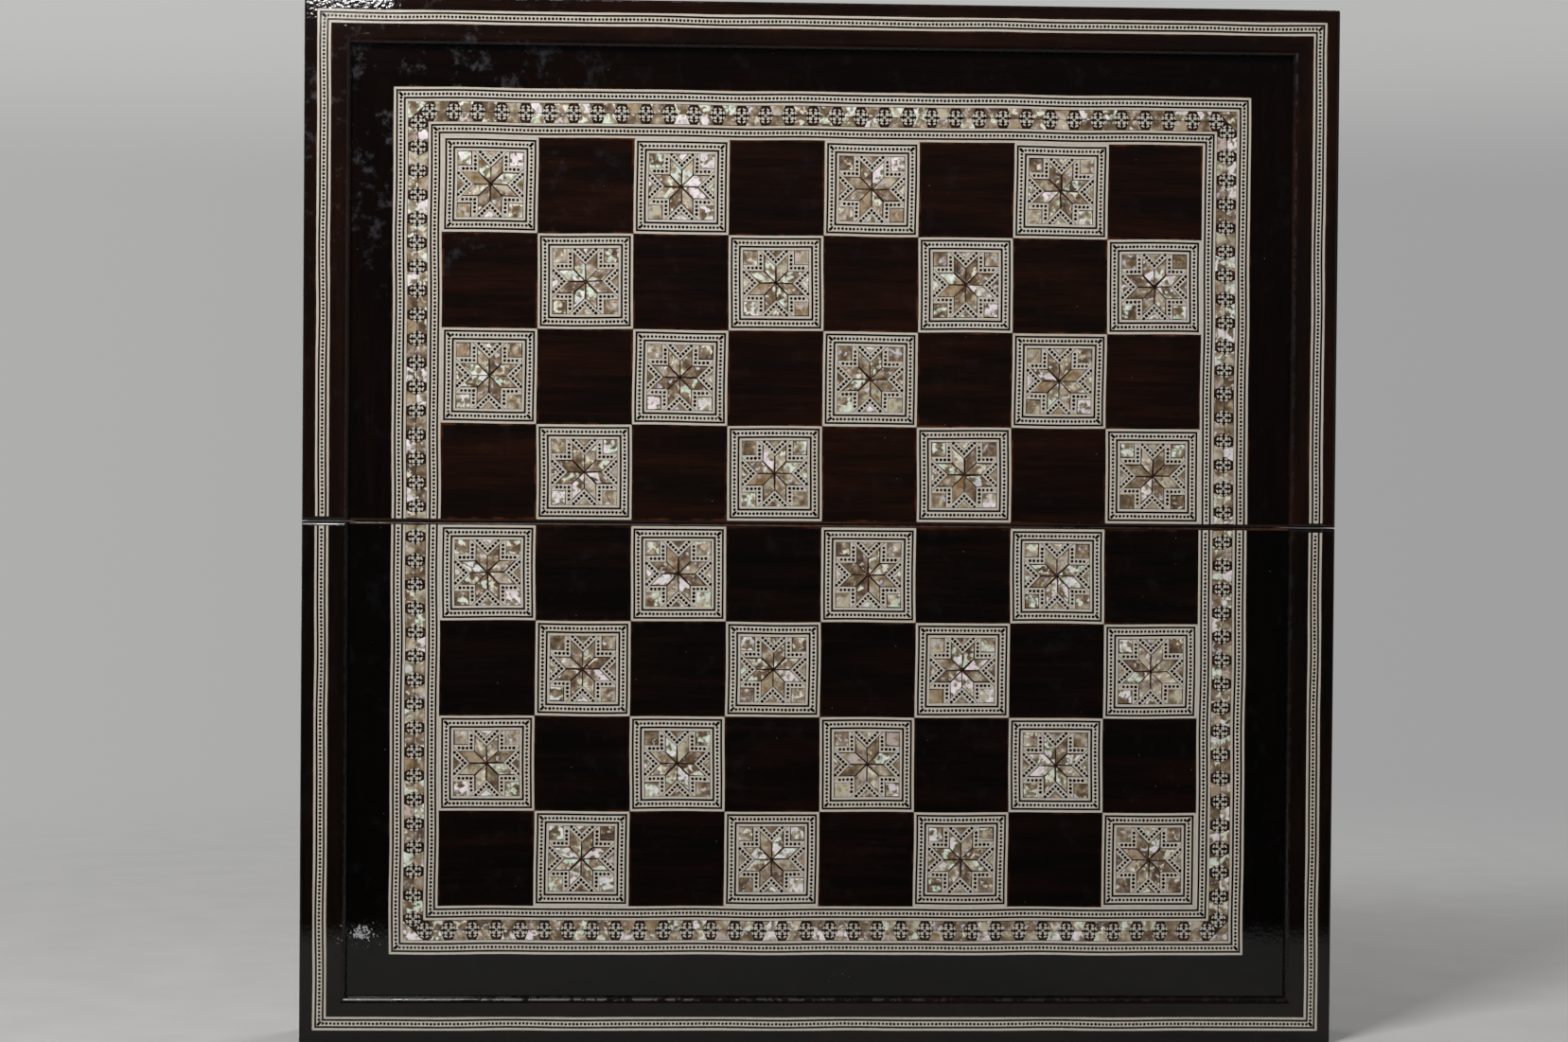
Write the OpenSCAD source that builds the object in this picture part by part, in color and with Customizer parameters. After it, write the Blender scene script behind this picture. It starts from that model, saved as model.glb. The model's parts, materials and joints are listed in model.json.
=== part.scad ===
/* [Chess field] */
// Width of one square, measured along the seam
square_w = 46; // [43:0.5:50]
// Height of one square, measured across the seam
square_h = 46; // [43:0.5:50]
// Gap between neighbouring squares, filled by the lacquer
joint_gap = 0.1; // [0.05:0.05:0.3]
// Width of the plain lip of the panel between the field and the seam
seam_lip = 1.2; // [1:0.1:3]

/* [Star tiles] */
// Width of a bone line
bone_line = 1.1; // [0.8:0.05:1.2]
// Width of an ebony line
ebony_line = 0.95; // [0.6:0.05:1.05]
// Width of the dotted bone band in the frame of a tile
tile_dots_w = 2.9; // [2.2:0.1:3.1]
// Side of the pearl square in each corner of a tile
corner_pearl = 6.8; // [5.8:0.1:7.4]
// Width of the dotted strips round the star
zigzag_w = 3; // [2.4:0.1:3.3]
// Depth of the dotted chevron at the middle of each side of a tile
chevron_depth = 7.8; // [7:0.1:8.4]
// Ground left between the star and the dotted strips
star_gap = 1.2; // [0.8:0.1:1.8]
// Saw cut between neighbouring pieces of inlay
kerf = 0.15; // [0.1:0.05:0.25]

/* [Border of the field] */
// Width of each dotted strip beside the pearl band
strip_w = 6.8; // [6.2:0.1:8]
// Width of the pearl band between the strips
band_w = 9.9; // [9:0.1:12]
// Width of a rosette in the pearl band, across its corners
rosette_d = 7.5; // [6:0.1:8]
// Distance between neighbouring rosettes before they are spaced evenly
rosette_pitch = 11.4; // [10.8:0.1:13]
// Distance from the outer corner of the band to the nearest rosettes
band_corner = 10.4; // [10.3:0.1:12]
// Width of the plain margin between the border and the rim
margin_w = 20; // [12:1:30]

/* [Case] */
// Width of the rim, which is the thickness of the front and end rails
rim_w = 22.5; // [20:0.5:28]
// Height of the rim above the field
rim_rise = 4; // [3:0.5:6]
// Depth of one half, from the face of the rim to the mouth
half_d = 45; // [38:1:60]
// Thickness of the hinge rails
hinge_rail_t = 14; // [13:0.5:18]
// Thickness of the panel under the field
panel_t = 8; // [6:0.5:10]
// Depth of the groove in the rails that holds the edge of the panel
panel_groove = 5; // [3:0.5:7]
// Thickness of the veneer and inlay on the field and on the playing floor
veneer_t = 1.2; // [1:0.1:2]
// Part of that thickness that backs the pearl and the tiles
backing_t = 0.5; // [0.3:0.1:0.7]
// Gap between the two halves when the board is open
seam_gap = 0.5; // [0.3:0.1:1]
// Gap between the two mouths when the board is folded
mouth_gap = 0.5; // [0.3:0.1:1]

/* [Rounded edges] */
// Radius of the inner edge of the rim
rim_inner_r = 3; // [1:0.5:3]
// Radius of the outer edges of the rim
rim_outer_r = 1.2; // [0.5:0.1:2]
// Radius of the edges at the mouth
mouth_r = 1; // [0.5:0.1:2]
// Radius of the rim where it ends at the seam
rim_end_r = 2; // [1:0.5:3]
// Radius of the lip of the panel at the seam
seam_lip_r = 0.8; // [0.4:0.1:1]
// Radius of the four outer corners of a half
corner_r = 1.5; // [0.5:0.5:3]

/* [Rim and mouth strips] */
// Distance from the outside of the case to the dotted strip on the rim
rim_strip_inset = 6.3; // [4:0.1:8]
// Width of the dotted strip on the rim
rim_strip_w = 6.6; // [6:0.1:8]
// Distance from the outside of the case to the strip in the mouth edge
mouth_strip_inset = 8; // [5:0.5:10]
// Width of the strip in the mouth edge
mouth_strip_w = 6.5; // [4:0.5:8]
// Depth that the rim and mouth strips are let in
strip_t = 1.2; // [0.8:0.1:2]

/* [Playing floor] */
// Length of a point
point_l = 188; // [150:1:195]
// Gap between the feet of neighbouring points
point_gap = 1; // [0.6:0.1:3]
// Width of the border strip round the playing floor
floor_strip_w = 4.5; // [3:0.5:8]

/* [Hinges] */
// Distance of the outer hinges from the middle hinge
hinge_spacing = 170; // [100:5:185]
// Length of a hinge
hinge_l = 50; // [40:1:70]
// Width of a hinge leaf, measured from the middle of the pin
leaf_w = 12; // [10:0.5:12.5]
// Thickness of a hinge leaf
leaf_t = 1.4; // [1:0.1:2]
// Outer diameter of the knuckles
barrel_d = 4.8; // [4.4:0.1:6]
// Diameter of the hinge pin
pin_d = 2; // [1.6:0.1:2.4]
// Gap between neighbouring knuckles
knuckle_gap = 0.3; // [0.2:0.05:0.5]
// Gap between the barrel and the groove round it
barrel_gap = 0.4; // [0.3:0.05:0.8]
// Radial clearance of the pin in a knuckle and of the hook on its pivot
running_fit = 0.05; // [0.03:0.01:0.08]
// Diameter of the shank of a hinge screw
screw_d = 2.4; // [2:0.1:3]
// Length of a hinge screw
screw_l = 12; // [8:1:16]

/* [Latches] */
// Distance of each latch from the middle of the board
latch_x = 150; // [80:5:190]
// Distance from the mouth to the pivot and to the stud
latch_inset = 8; // [7:0.5:10]
// Thickness of the hook
hook_t = 1.6; // [1.2:0.1:2]
// Width of the arm of the hook
hook_arm_w = 4; // [3:0.5:5]
// Diameter of the rounded ends of the hook
hook_end_d = 7.2; // [6.6:0.2:8]
// Diameter of the pivot and of the stud
stud_d = 2.6; // [2:0.1:3]
// Diameter of the flat heads of the pivot and the stud
stud_head_d = 5.2; // [4.4:0.1:6]
// Thickness of those heads
stud_head_t = 0.8; // [0.5:0.1:1.2]
// Air between the hook and the floor, heads, stud and walls round it
latch_air = 0.3; // [0.25:0.05:0.5]
// Depth of a head below the outer face of the rail
latch_sink = 0.4; // [0.2:0.1:1]

/* [Hidden] */
$fn = 48;
columns = 8;
rows = 4;
points = 6;
hinges = 3;
knuckles = 5;
leaf_screws = 3;
tiny = 0.01;
over = 1;

// Widths that add up to the size of one half
border_w = 2 * strip_w + band_w;
field_inset = rim_w + margin_w + border_w;
case_w = columns * square_w + 2 * field_inset;
field_end_z = rows * square_h + field_inset;
half_h = field_end_z + seam_lip;
inner_w = case_w - 2 * rim_w;

// Levels from the face of the rim, which looks along -Y, to the mouth
rim_y = -half_d / 2;
field_y = rim_y + rim_rise;
panel_y = field_y + veneer_t;
floor_back_y = panel_y + panel_t;
mouth_y = half_d / 2;
inlay_t = veneer_t - backing_t;

// The fold axis runs along X, midway between the halves in both of their poses
axis_y = mouth_y + mouth_gap / 2;
axis_z = half_h + seam_gap / 2;

// Room inside the frame of a tile, from its centre to the frame
tile_frame_w = 2 * (bone_line + ebony_line) + tile_dots_w;
tile_x = (square_w - joint_gap) / 2 - tile_frame_w;
tile_z = (square_h - joint_gap) / 2 - tile_frame_w;
ell_inner = corner_pearl + 2 * kerf;
ell_outer = ell_inner + zigzag_w;
slant_kerf = kerf * sqrt(2);
chevron_tip = min(tile_x, tile_z) - chevron_depth;
ell_tip = norm([tile_x - ell_outer, tile_z - ell_outer]);
star_notch = min(chevron_tip, ell_tip) - star_gap;
star_points = 8;
star_angle = 360 / star_points;

// Spacing of the rosettes along the bottom run and the end runs of the band
band_inset = rim_w + margin_w + strip_w;
run_w = case_w - 2 * (band_inset + band_corner);
run_h = field_end_z - band_inset - band_corner;
count_w = round(run_w / rosette_pitch);
count_h = round(run_h / rosette_pitch - 0.5);
pitch_w = run_w / count_w;
pitch_h = run_h / (count_h + 0.5);

// Playing floor inside the rails
floor_top_z = half_h - hinge_rail_t;
point_pitch = (floor_top_z - rim_w - 2 * floor_strip_w) / points;

// Hinges
knuckle_pitch = hinge_l / knuckles;
barrel_r = barrel_d / 2;
pin_overhang = 0.6;
leaf_screw_pitch = hinge_l / leaf_screws;
leaf_screw_z = axis_z - (leaf_w + barrel_r + barrel_gap) / 2;
screw_head_d = 2 * screw_d;
screw_slot_w = 0.6;

// Latches, where a depth is measured inwards from the outer face of the front rail
latch_l = 2 * latch_inset + mouth_gap;
hook_depth = latch_sink + stud_head_t + latch_air;
pocket_depth = hook_depth + hook_t + latch_air;
pocket_y = latch_inset + hook_end_d / 2 + 2 * latch_air;
pocket_l = latch_l + hook_end_d / 2 + 2 * latch_air;
pocket_back = hook_end_d / 2 + 2 * latch_air;
pocket_r = 2;
stud_grip = 9;
stud_l = pocket_depth + stud_grip;

walnut = "#2a1710";
dark_walnut = "#170d08";
rosewood = "#3a1f12";
bone = "#d6cdbb";
ebony = "#0c0907";
pearl = "#cdc6bd";
rosette = "#8d8478";
maple = "#c39a63";
brass = "#b8923f";

// Every piece of a half is drawn as the lower one. The upper one is the same, turned half a
// turn about Y, so that both rims face -Y and both hinge rails meet at the seam.
module upper() {
  translate([0, 0, 2 * axis_z])
    rotate([0, 180, 0])
      children();
}

module both_sides() {
  children();
  mirror([1, 0, 0])
    children();
}

// A flat outline drawn in X and Z, given a thickness from back towards +Y
module slab(back, thickness) {
  translate([0, back + thickness, 0])
    rotate([90, 0, 0])
      linear_extrude(thickness)
        children();
}

// What a rounded edge of radius r leaves of a square corner at the origin
module nick(r) {
  difference() {
    translate([-over, -over])
      square(r + over);
    translate([r, r])
      circle(r);
  }
}

// A band that runs along the front and both ends of a half, and is open at the seam
module u_band(inset, width, end = field_end_z) {
  difference() {
    translate([inset - case_w / 2, inset])
      square([case_w - 2 * inset, end - inset]);
    translate([inset + width - case_w / 2, inset + width])
      square([case_w - 2 * (inset + width), end]);
  }
}

module frame_2d(w, h, thickness) {
  difference() {
    square([w, h], center = true);
    square([w - 2 * thickness, h - 2 * thickness], center = true);
  }
}

// A dotted strip is two bone lines, two ebony lines and the bone band that carries the dots
module strip_bone(inset, width, end = field_end_z) {
  lines = bone_line + ebony_line;
  u_band(inset, bone_line, end);
  u_band(inset + lines, width - 2 * lines, end);
  u_band(inset + width - bone_line, bone_line, end);
}

module strip_ebony(inset, width, end = field_end_z) {
  u_band(inset + bone_line, ebony_line, end);
  u_band(inset + width - bone_line - ebony_line, ebony_line, end);
}

// Cross-section of a front or end rail: X runs inwards from the outside of the case
module rail_section() {
  difference() {
    translate([0, rim_y])
      square([rim_w, half_d]);
    translate([0, rim_y])
      nick(rim_outer_r);
    translate([rim_w, rim_y])
      mirror([1, 0])
        nick(rim_inner_r);
    translate([0, mouth_y])
      mirror([0, 1])
        nick(mouth_r);
    translate([rim_w, mouth_y])
      mirror([1, 1])
        nick(mouth_r);
    translate([rim_w - panel_groove, panel_y])
      square([panel_groove + over, panel_t]);
  }
}

// Mitred outlines of the front rail and of the end rail on the left
module front_outline() {
  polygon([
    [-case_w / 2, 0],
    [case_w / 2, 0],
    [case_w / 2 - rim_w, rim_w],
    [rim_w - case_w / 2, rim_w]
  ]);
}

module end_outline() {
  polygon([
    [-case_w / 2, 0],
    [rim_w - case_w / 2, rim_w],
    [rim_w - case_w / 2, half_h],
    [-case_w / 2, half_h]
  ]);
}

// The grooves of the rim strip and the mouth strip, and the rounded outer corners
module case_cuts() {
  slab(rim_y - over, strip_t + over)
    u_band(rim_strip_inset, rim_strip_w, half_h - rim_end_r);
  slab(mouth_y - strip_t, strip_t + over)
    u_band(mouth_strip_inset, mouth_strip_w, half_h - rim_end_r);
  both_sides()
    translate([-case_w / 2, 0, 0])
      slab(rim_y - over, half_d + 2 * over)
        nick(corner_r);
}

// The recess of one latch, drawn at the pivot or stud with the hook lying along +X
module latch_pocket() {
  translate([0, mouth_y - latch_inset, -over])
    linear_extrude(pocket_depth + over)
      difference() {
        translate([-pocket_back, latch_inset - pocket_y])
          square([pocket_back + pocket_l, pocket_y + over]);
        translate([-pocket_back, latch_inset - pocket_y])
          nick(pocket_r);
        translate([pocket_l, latch_inset - pocket_y])
          mirror([1, 0])
            nick(pocket_r);
      }
}

module front_rail() {
  difference() {
    intersection() {
      rotate([0, -90, 0])
        linear_extrude(case_w, center = true)
          rail_section();
      slab(rim_y - over, half_d + 2 * over)
        front_outline();
    }
    case_cuts();
    both_sides()
      translate([-latch_x, 0, 0]) {
        latch_pocket();
        translate([0, mouth_y - latch_inset, 0])
          cylinder(d = stud_d + 2 * running_fit, h = stud_l + running_fit);
      }
  }
}

module end_rail() {
  difference() {
    intersection() {
      translate([-case_w / 2, 0, 0])
        linear_extrude(half_h)
          rail_section();
      slab(rim_y - over, half_d + 2 * over)
        end_outline();
    }
    case_cuts();
    seam_rounding(rim_y, rim_end_r);
  }
}

// What a rounded edge along the seam leaves of a face at the given level
module seam_rounding(face_y, r) {
  translate([0, face_y, half_h])
    rotate([90, 0, 90])
      linear_extrude(case_w + 2 * over, center = true)
        mirror([0, 1])
          nick(r);
}

// Places one child at each hinge, with the origin in the middle of its pin
module at_hinges() {
  for (i = [0 : hinges - 1])
    translate([(i - (hinges - 1) / 2) * hinge_spacing, axis_y, axis_z])
      children();
}

module at_leaf_screws() {
  at_hinges()
    for (i = [0 : leaf_screws - 1])
      translate([(i - (leaf_screws - 1) / 2) * leaf_screw_pitch, mouth_y - axis_y, leaf_screw_z - axis_z])
        rotate([90, 0, 0])
          children();
}

module hinge_rail() {
  difference() {
    translate([-inner_w / 2, floor_back_y, floor_top_z])
      cube([inner_w, mouth_y - floor_back_y, hinge_rail_t]);
    at_hinges() {
      rotate([0, 90, 0])
        cylinder(r = barrel_r + barrel_gap, h = hinge_l + 2 * (pin_overhang + barrel_gap), center = true);
      translate([-hinge_l / 2, mouth_y - leaf_t - axis_y, -leaf_w])
        cube([hinge_l, leaf_t + over, leaf_w]);
    }
    at_leaf_screws()
      cylinder(d = screw_d + 2 * running_fit, h = screw_l + running_fit);
    translate([0, mouth_y, floor_top_z])
      rotate([90, 0, 90])
        linear_extrude(case_w, center = true)
          mirror([1, 0])
            nick(mouth_r);
  }
}

// The panel lies in the grooves of the rails. Its lip covers the ends of the veneers.
module panel() {
  difference() {
    union() {
      slab(panel_y, panel_t)
        u_fill(rim_w - panel_groove, half_h);
      slab(field_y, veneer_t + panel_t / 2)
        translate([-inner_w / 2, field_end_z])
          square([inner_w, seam_lip]);
    }
    seam_rounding(field_y, seam_lip_r);
  }
}

// A plain rectangle inside a half, from its inset to a given height
module u_fill(inset, end) {
  translate([inset - case_w / 2, inset])
    square([case_w - 2 * inset, end - inset]);
}

module margin_veneer() {
  slab(field_y, veneer_t)
    u_band(rim_w, margin_w);
}

// Places one child on each square of a half that is a star tile, or on each that isn't
module on_squares(tiles) {
  for (row = [0 : rows - 1], column = [0 : columns - 1])
    if (((row + column) % 2 == 1) == tiles)
      translate([
        (column - (columns - 1) / 2) * square_w,
        field_inset + (row + 0.5) * square_h
      ])
        children();
}

module dark_squares() {
  slab(field_y, veneer_t)
    on_squares(false)
      square([square_w - joint_gap, square_h - joint_gap], center = true);
}

module tile_grounds() {
  slab(field_y + inlay_t, backing_t)
    on_squares(true)
      square([square_w - joint_gap, square_h - joint_gap], center = true);
}

module tile_ring(inset, thickness) {
  frame_2d(square_w - joint_gap - 2 * inset, square_h - joint_gap - 2 * inset, thickness);
}

module tile_bone() {
  lines = bone_line + ebony_line;
  slab(field_y, inlay_t)
    on_squares(true) {
      tile_ring(0, bone_line);
      tile_ring(lines, tile_dots_w);
      tile_ring(tile_frame_w - bone_line, bone_line);
    }
}

module tile_ebony() {
  slab(field_y, inlay_t)
    on_squares(true) {
      tile_ring(bone_line, ebony_line);
      tile_ring(tile_frame_w - bone_line - ebony_line, ebony_line);
    }
}

// A right-angled triangle on one side of a tile, with its tip depth mm in from that side
module side_triangle(reach, depth) {
  translate([0, reach])
    polygon([[-depth, 0], [depth, 0], [0, -depth]]);
}

// The sides of a tile that a chevron stands on: turn, and the distance to that side
tile_sides = [[0, tile_z], [90, tile_x], [180, tile_z], [270, tile_x]];

module chevrons() {
  for (side = tile_sides)
    rotate(side[0])
      intersection() {
        difference() {
          side_triangle(side[1], chevron_depth);
          side_triangle(side[1], chevron_depth - zigzag_w * sqrt(2));
        }
        square([2 * (chevron_depth - kerf), 2 * (side[1] - kerf)], center = true);
      }
}

module corner_strips() {
  difference() {
    frame_2d(2 * (tile_x - kerf), 2 * (tile_z - kerf), ell_outer - kerf);
    for (side = tile_sides)
      rotate(side[0])
        side_triangle(side[1], chevron_depth + slant_kerf);
    square([2 * (tile_x - ell_outer), 2 * tile_z], center = true);
    square([2 * tile_x, 2 * (tile_z - ell_outer)], center = true);
    for (sx = [-1, 1], sz = [-1, 1])
      translate([sx * (tile_x - ell_inner / 2), sz * (tile_z - ell_inner / 2)])
        square(ell_inner, center = true);
  }
}

module tile_strips() {
  slab(field_y, inlay_t)
    on_squares(true) {
      chevrons();
      corner_strips();
    }
}

// One pearl lozenge of the star, with its inner tip at the centre of the tile
module lozenge() {
  out = star_notch * cos(star_angle / 2);
  across = star_notch * sin(star_angle / 2);
  translate([kerf / 2 / sin(star_angle / 2), 0])
    polygon([[0, 0], [out, across], [2 * out, 0], [out, -across]]);
}

module star_pearl() {
  slab(field_y, inlay_t)
    on_squares(true)
      for (i = [0 : star_points - 1])
        rotate((i + 0.5) * star_angle)
          lozenge();
}

module corner_pearls() {
  for (sx = [-1, 1], sz = [-1, 1])
    translate([sx * (tile_x - ell_inner / 2), sz * (tile_z - ell_inner / 2)])
      square(corner_pearl, center = true);
  for (side = tile_sides)
    rotate(side[0])
      intersection() {
        side_triangle(side[1], chevron_depth - zigzag_w * sqrt(2) - slant_kerf);
        square(2 * (side[1] - kerf), center = true);
      }
}

module corner_pearl() {
  slab(field_y, inlay_t)
    on_squares(true)
      corner_pearls();
}

module rim_bone() {
  slab(rim_y, strip_t)
    strip_bone(rim_strip_inset, rim_strip_w, half_h - rim_end_r);
}

module rim_ebony() {
  slab(rim_y, strip_t)
    strip_ebony(rim_strip_inset, rim_strip_w, half_h - rim_end_r);
}

module border_bone() {
  slab(field_y, veneer_t) {
    strip_bone(rim_w + margin_w, strip_w);
    strip_bone(band_inset + band_w, strip_w);
  }
}

module border_ebony() {
  slab(field_y, veneer_t) {
    strip_ebony(rim_w + margin_w, strip_w);
    strip_ebony(band_inset + band_w, strip_w);
  }
}

module band_ground() {
  slab(field_y + inlay_t, backing_t)
    u_band(band_inset, band_w);
}

// Places children along the band with X along it and Y across it. The first child stands at
// every rosette, the second between two of them at the front, the third between two of them
// at an end, and the fourth between the last one and the seam.
module along_band() {
  translate([-run_w / 2, band_inset + band_w / 2])
    for (i = [0 : count_w]) {
      translate([i * pitch_w, 0])
        children(0);
      if (i < count_w)
        translate([(i + 0.5) * pitch_w, 0])
          children(1);
    }
  both_sides()
    translate([band_inset + band_w / 2 - case_w / 2, band_inset + band_corner])
      rotate(90)
        for (i = [0 : count_h]) {
          translate([i * pitch_h, 0])
            children(0);
          translate([(i + 0.5) * pitch_h, 0])
            if (i < count_h)
              children(2);
            else
              children(3);
        }
}

module nothing() {
}

module rosette_2d() {
  circle(d = rosette_d, $fn = 8);
}

// Two pearls meet at their narrow sides between two rosettes, and slope as the rosettes do
module pearl_pair(pitch) {
  waist = (pitch - rosette_d) / 2 - kerf;
  reach = band_w / 2 - kerf;
  foot = waist + reach * tan(360 / 16);
  for (side = [-1, 1])
    scale([1, side])
      polygon([[-foot, reach], [foot, reach], [waist, kerf / 2], [-waist, kerf / 2]]);
}

module half_pearl_pair(pitch) {
  intersection() {
    pearl_pair(pitch);
    translate([-pitch, -band_w])
      square([pitch - kerf, 2 * band_w]);
  }
}

module rosettes() {
  slab(field_y, inlay_t)
    along_band() {
      rosette_2d();
      nothing();
      nothing();
      nothing();
    }
}

module band_pearl() {
  leg = band_corner - rosette_d / 2;
  slab(field_y, inlay_t) {
    along_band() {
      nothing();
      pearl_pair(pitch_w);
      pearl_pair(pitch_h);
      half_pearl_pair(pitch_h);
    }
    both_sides()
      translate([band_inset - case_w / 2, band_inset])
        polygon([[kerf, kerf], [leg, kerf], [kerf, leg]]);
  }
}

// The playing floor, seen from the mouth
module floor_outline(inset) {
  translate([inset - inner_w / 2, rim_w + inset])
    square([inner_w - 2 * inset, floor_top_z - rim_w - 2 * inset]);
}

module point_2d() {
  base = (point_pitch - point_gap) / 2;
  polygon([[0, -base], [point_l, 0], [0, base]]);
}

// Places a point for each row of one colour, with the colours swapped from end to end
module at_points(colour) {
  for (i = [0 : points - 1], side = [0, 1])
    if ((i + side) % 2 == colour)
      translate([
        (2 * side - 1) * (inner_w / 2 - floor_strip_w),
        rim_w + floor_strip_w + (i + 0.5) * point_pitch
      ])
        rotate(180 * side)
          point_2d();
}

module floor_veneer() {
  slab(floor_back_y, veneer_t)
    difference() {
      floor_outline(floor_strip_w);
      at_points(0);
      at_points(1);
    }
}

module floor_border() {
  slab(floor_back_y, veneer_t)
    difference() {
      floor_outline(0);
      floor_outline(floor_strip_w);
    }
}

module light_points() {
  slab(floor_back_y, veneer_t)
    at_points(0);
}

module dark_points() {
  slab(floor_back_y, veneer_t)
    at_points(1);
}

module mouth_strip() {
  slab(mouth_y - strip_t, strip_t)
    u_band(mouth_strip_inset, mouth_strip_w, half_h - rim_end_r);
}

// The cylinder of every second knuckle, from the first or from the second one
module knuckle_set(first, radius, gap) {
  for (i = [first : 2 : knuckles - 1])
    translate([(i + 0.5) * knuckle_pitch - hinge_l / 2, 0, 0])
      rotate([0, 90, 0])
        cylinder(r = radius, h = knuckle_pitch - gap, center = true);
}

// A leaf with its own knuckles, cut away where the other leaf's knuckles turn
module hinge_leaves(first) {
  other = 1 - first;
  difference() {
    at_hinges()
      difference() {
        union() {
          translate([-hinge_l / 2, mouth_y - leaf_t - axis_y, -leaf_w])
            cube([hinge_l, leaf_t, leaf_w - barrel_r / 2]);
          knuckle_set(first, barrel_r, knuckle_gap);
        }
        knuckle_set(other, barrel_r + barrel_gap, -knuckle_gap);
        rotate([0, 90, 0])
          cylinder(d = pin_d + 2 * running_fit, h = hinge_l + over, center = true);
      }
    at_leaf_screws()
      screw_blank(running_fit);
  }
}

// A countersunk screw with its head at the origin, driven along +Z
module screw_blank(clearance) {
  cylinder(d = screw_d + 2 * clearance, h = screw_l);
  translate([0, 0, -clearance])
    cylinder(
      d1 = screw_head_d + 4 * clearance,
      d2 = screw_d + 2 * clearance,
      h = screw_d / 2 + clearance
    );
}

module hinge_screws() {
  at_leaf_screws()
    difference() {
      screw_blank(0);
      translate([0, 0, screw_slot_w / 2])
        cube([screw_head_d, screw_slot_w, screw_slot_w + tiny], center = true);
    }
}

module pins() {
  at_hinges()
    rotate([0, 90, 0])
      cylinder(d = pin_d, h = hinge_l + 2 * pin_overhang, center = true);
}

// A shank with a flat head, standing out of the floor of the latch pocket
module stud() {
  translate([0, mouth_y - latch_inset, latch_sink]) {
    cylinder(d = stud_head_d, h = stud_head_t);
    cylinder(d = stud_d, h = stud_l - latch_sink);
  }
}

module studs() {
  both_sides()
    translate([-latch_x, 0, 0])
      stud();
}

// The hook, lying along +X from its pivot, with its claw open towards the mouth
module hook() {
  claw_d = stud_d + 2 * latch_air;
  translate([0, mouth_y - latch_inset, hook_depth])
    linear_extrude(hook_t)
      difference() {
        union() {
          circle(d = hook_end_d);
          translate([0, -hook_arm_w / 2])
            square([latch_l, hook_arm_w]);
          translate([latch_l, 0])
            circle(d = hook_end_d);
        }
        circle(d = stud_d + 2 * running_fit);
        translate([latch_l, 0])
          circle(d = claw_d);
        translate([latch_l - claw_d / 2, 0])
          square([claw_d, hook_end_d]);
      }
}

module lower_front_rail() color(walnut) front_rail();
module lower_left_rail() color(walnut) end_rail();
module lower_right_rail() color(walnut) mirror([1, 0, 0]) end_rail();
module lower_hinge_rail() color(walnut) hinge_rail();
module lower_panel() color(walnut) panel();
module lower_margin_veneer() color(dark_walnut) margin_veneer();
module lower_dark_squares() color(dark_walnut) dark_squares();
module lower_tile_grounds() color(rosewood) tile_grounds();
module lower_tile_bone() color(bone) tile_bone();
module lower_tile_ebony() color(ebony) tile_ebony();
module lower_tile_strips() color(bone) tile_strips();
module lower_star_pearl() color(pearl) star_pearl();
module lower_corner_pearl() color(pearl) corner_pearl();
module lower_rim_bone() color(bone) rim_bone();
module lower_rim_ebony() color(ebony) rim_ebony();
module lower_border_bone() color(bone) border_bone();
module lower_border_ebony() color(ebony) border_ebony();
module lower_band_ground() color(rosewood) band_ground();
module lower_band_pearl() color(pearl) band_pearl();
module lower_rosettes() color(rosette) rosettes();
module lower_floor_veneer() color(rosewood) floor_veneer();
module lower_floor_border() color(bone) floor_border();
module lower_light_points() color(maple) light_points();
module lower_dark_points() color(ebony) dark_points();
module lower_mouth_strip() color(bone) mouth_strip();
module lower_hinge_leaves() color(brass) hinge_leaves(0);
module lower_hinge_screws() color(brass) hinge_screws();
module hinge_pins() color(brass) pins();
module latch_studs() color(brass) studs();

module upper_front_rail() color(walnut) upper() front_rail();
module upper_left_rail() color(walnut) upper() mirror([1, 0, 0]) end_rail();
module upper_right_rail() color(walnut) upper() end_rail();
module upper_hinge_rail() color(walnut) upper() hinge_rail();
module upper_panel() color(walnut) upper() panel();
module upper_margin_veneer() color(dark_walnut) upper() margin_veneer();
module upper_dark_squares() color(dark_walnut) upper() dark_squares();
module upper_tile_grounds() color(rosewood) upper() tile_grounds();
module upper_tile_bone() color(bone) upper() tile_bone();
module upper_tile_ebony() color(ebony) upper() tile_ebony();
module upper_tile_strips() color(bone) upper() tile_strips();
module upper_star_pearl() color(pearl) upper() star_pearl();
module upper_corner_pearl() color(pearl) upper() corner_pearl();
module upper_rim_bone() color(bone) upper() rim_bone();
module upper_rim_ebony() color(ebony) upper() rim_ebony();
module upper_border_bone() color(bone) upper() border_bone();
module upper_border_ebony() color(ebony) upper() border_ebony();
module upper_band_ground() color(rosewood) upper() band_ground();
module upper_band_pearl() color(pearl) upper() band_pearl();
module upper_rosettes() color(rosette) upper() rosettes();
module upper_floor_veneer() color(rosewood) upper() floor_veneer();
module upper_floor_border() color(bone) upper() floor_border();
module upper_light_points() color(maple) upper() light_points();
module upper_dark_points() color(ebony) upper() dark_points();
module upper_mouth_strip() color(bone) upper() mouth_strip();
module upper_hinge_leaves() color(brass) upper() hinge_leaves(1);
module upper_hinge_screws() color(brass) upper() hinge_screws();
module latch_pivots() color(brass) upper() studs();
module left_hook() color(brass) upper() mirror([1, 0, 0]) translate([-latch_x, 0, 0]) hook();
module right_hook() color(brass) upper() translate([-latch_x, 0, 0]) hook();

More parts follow.
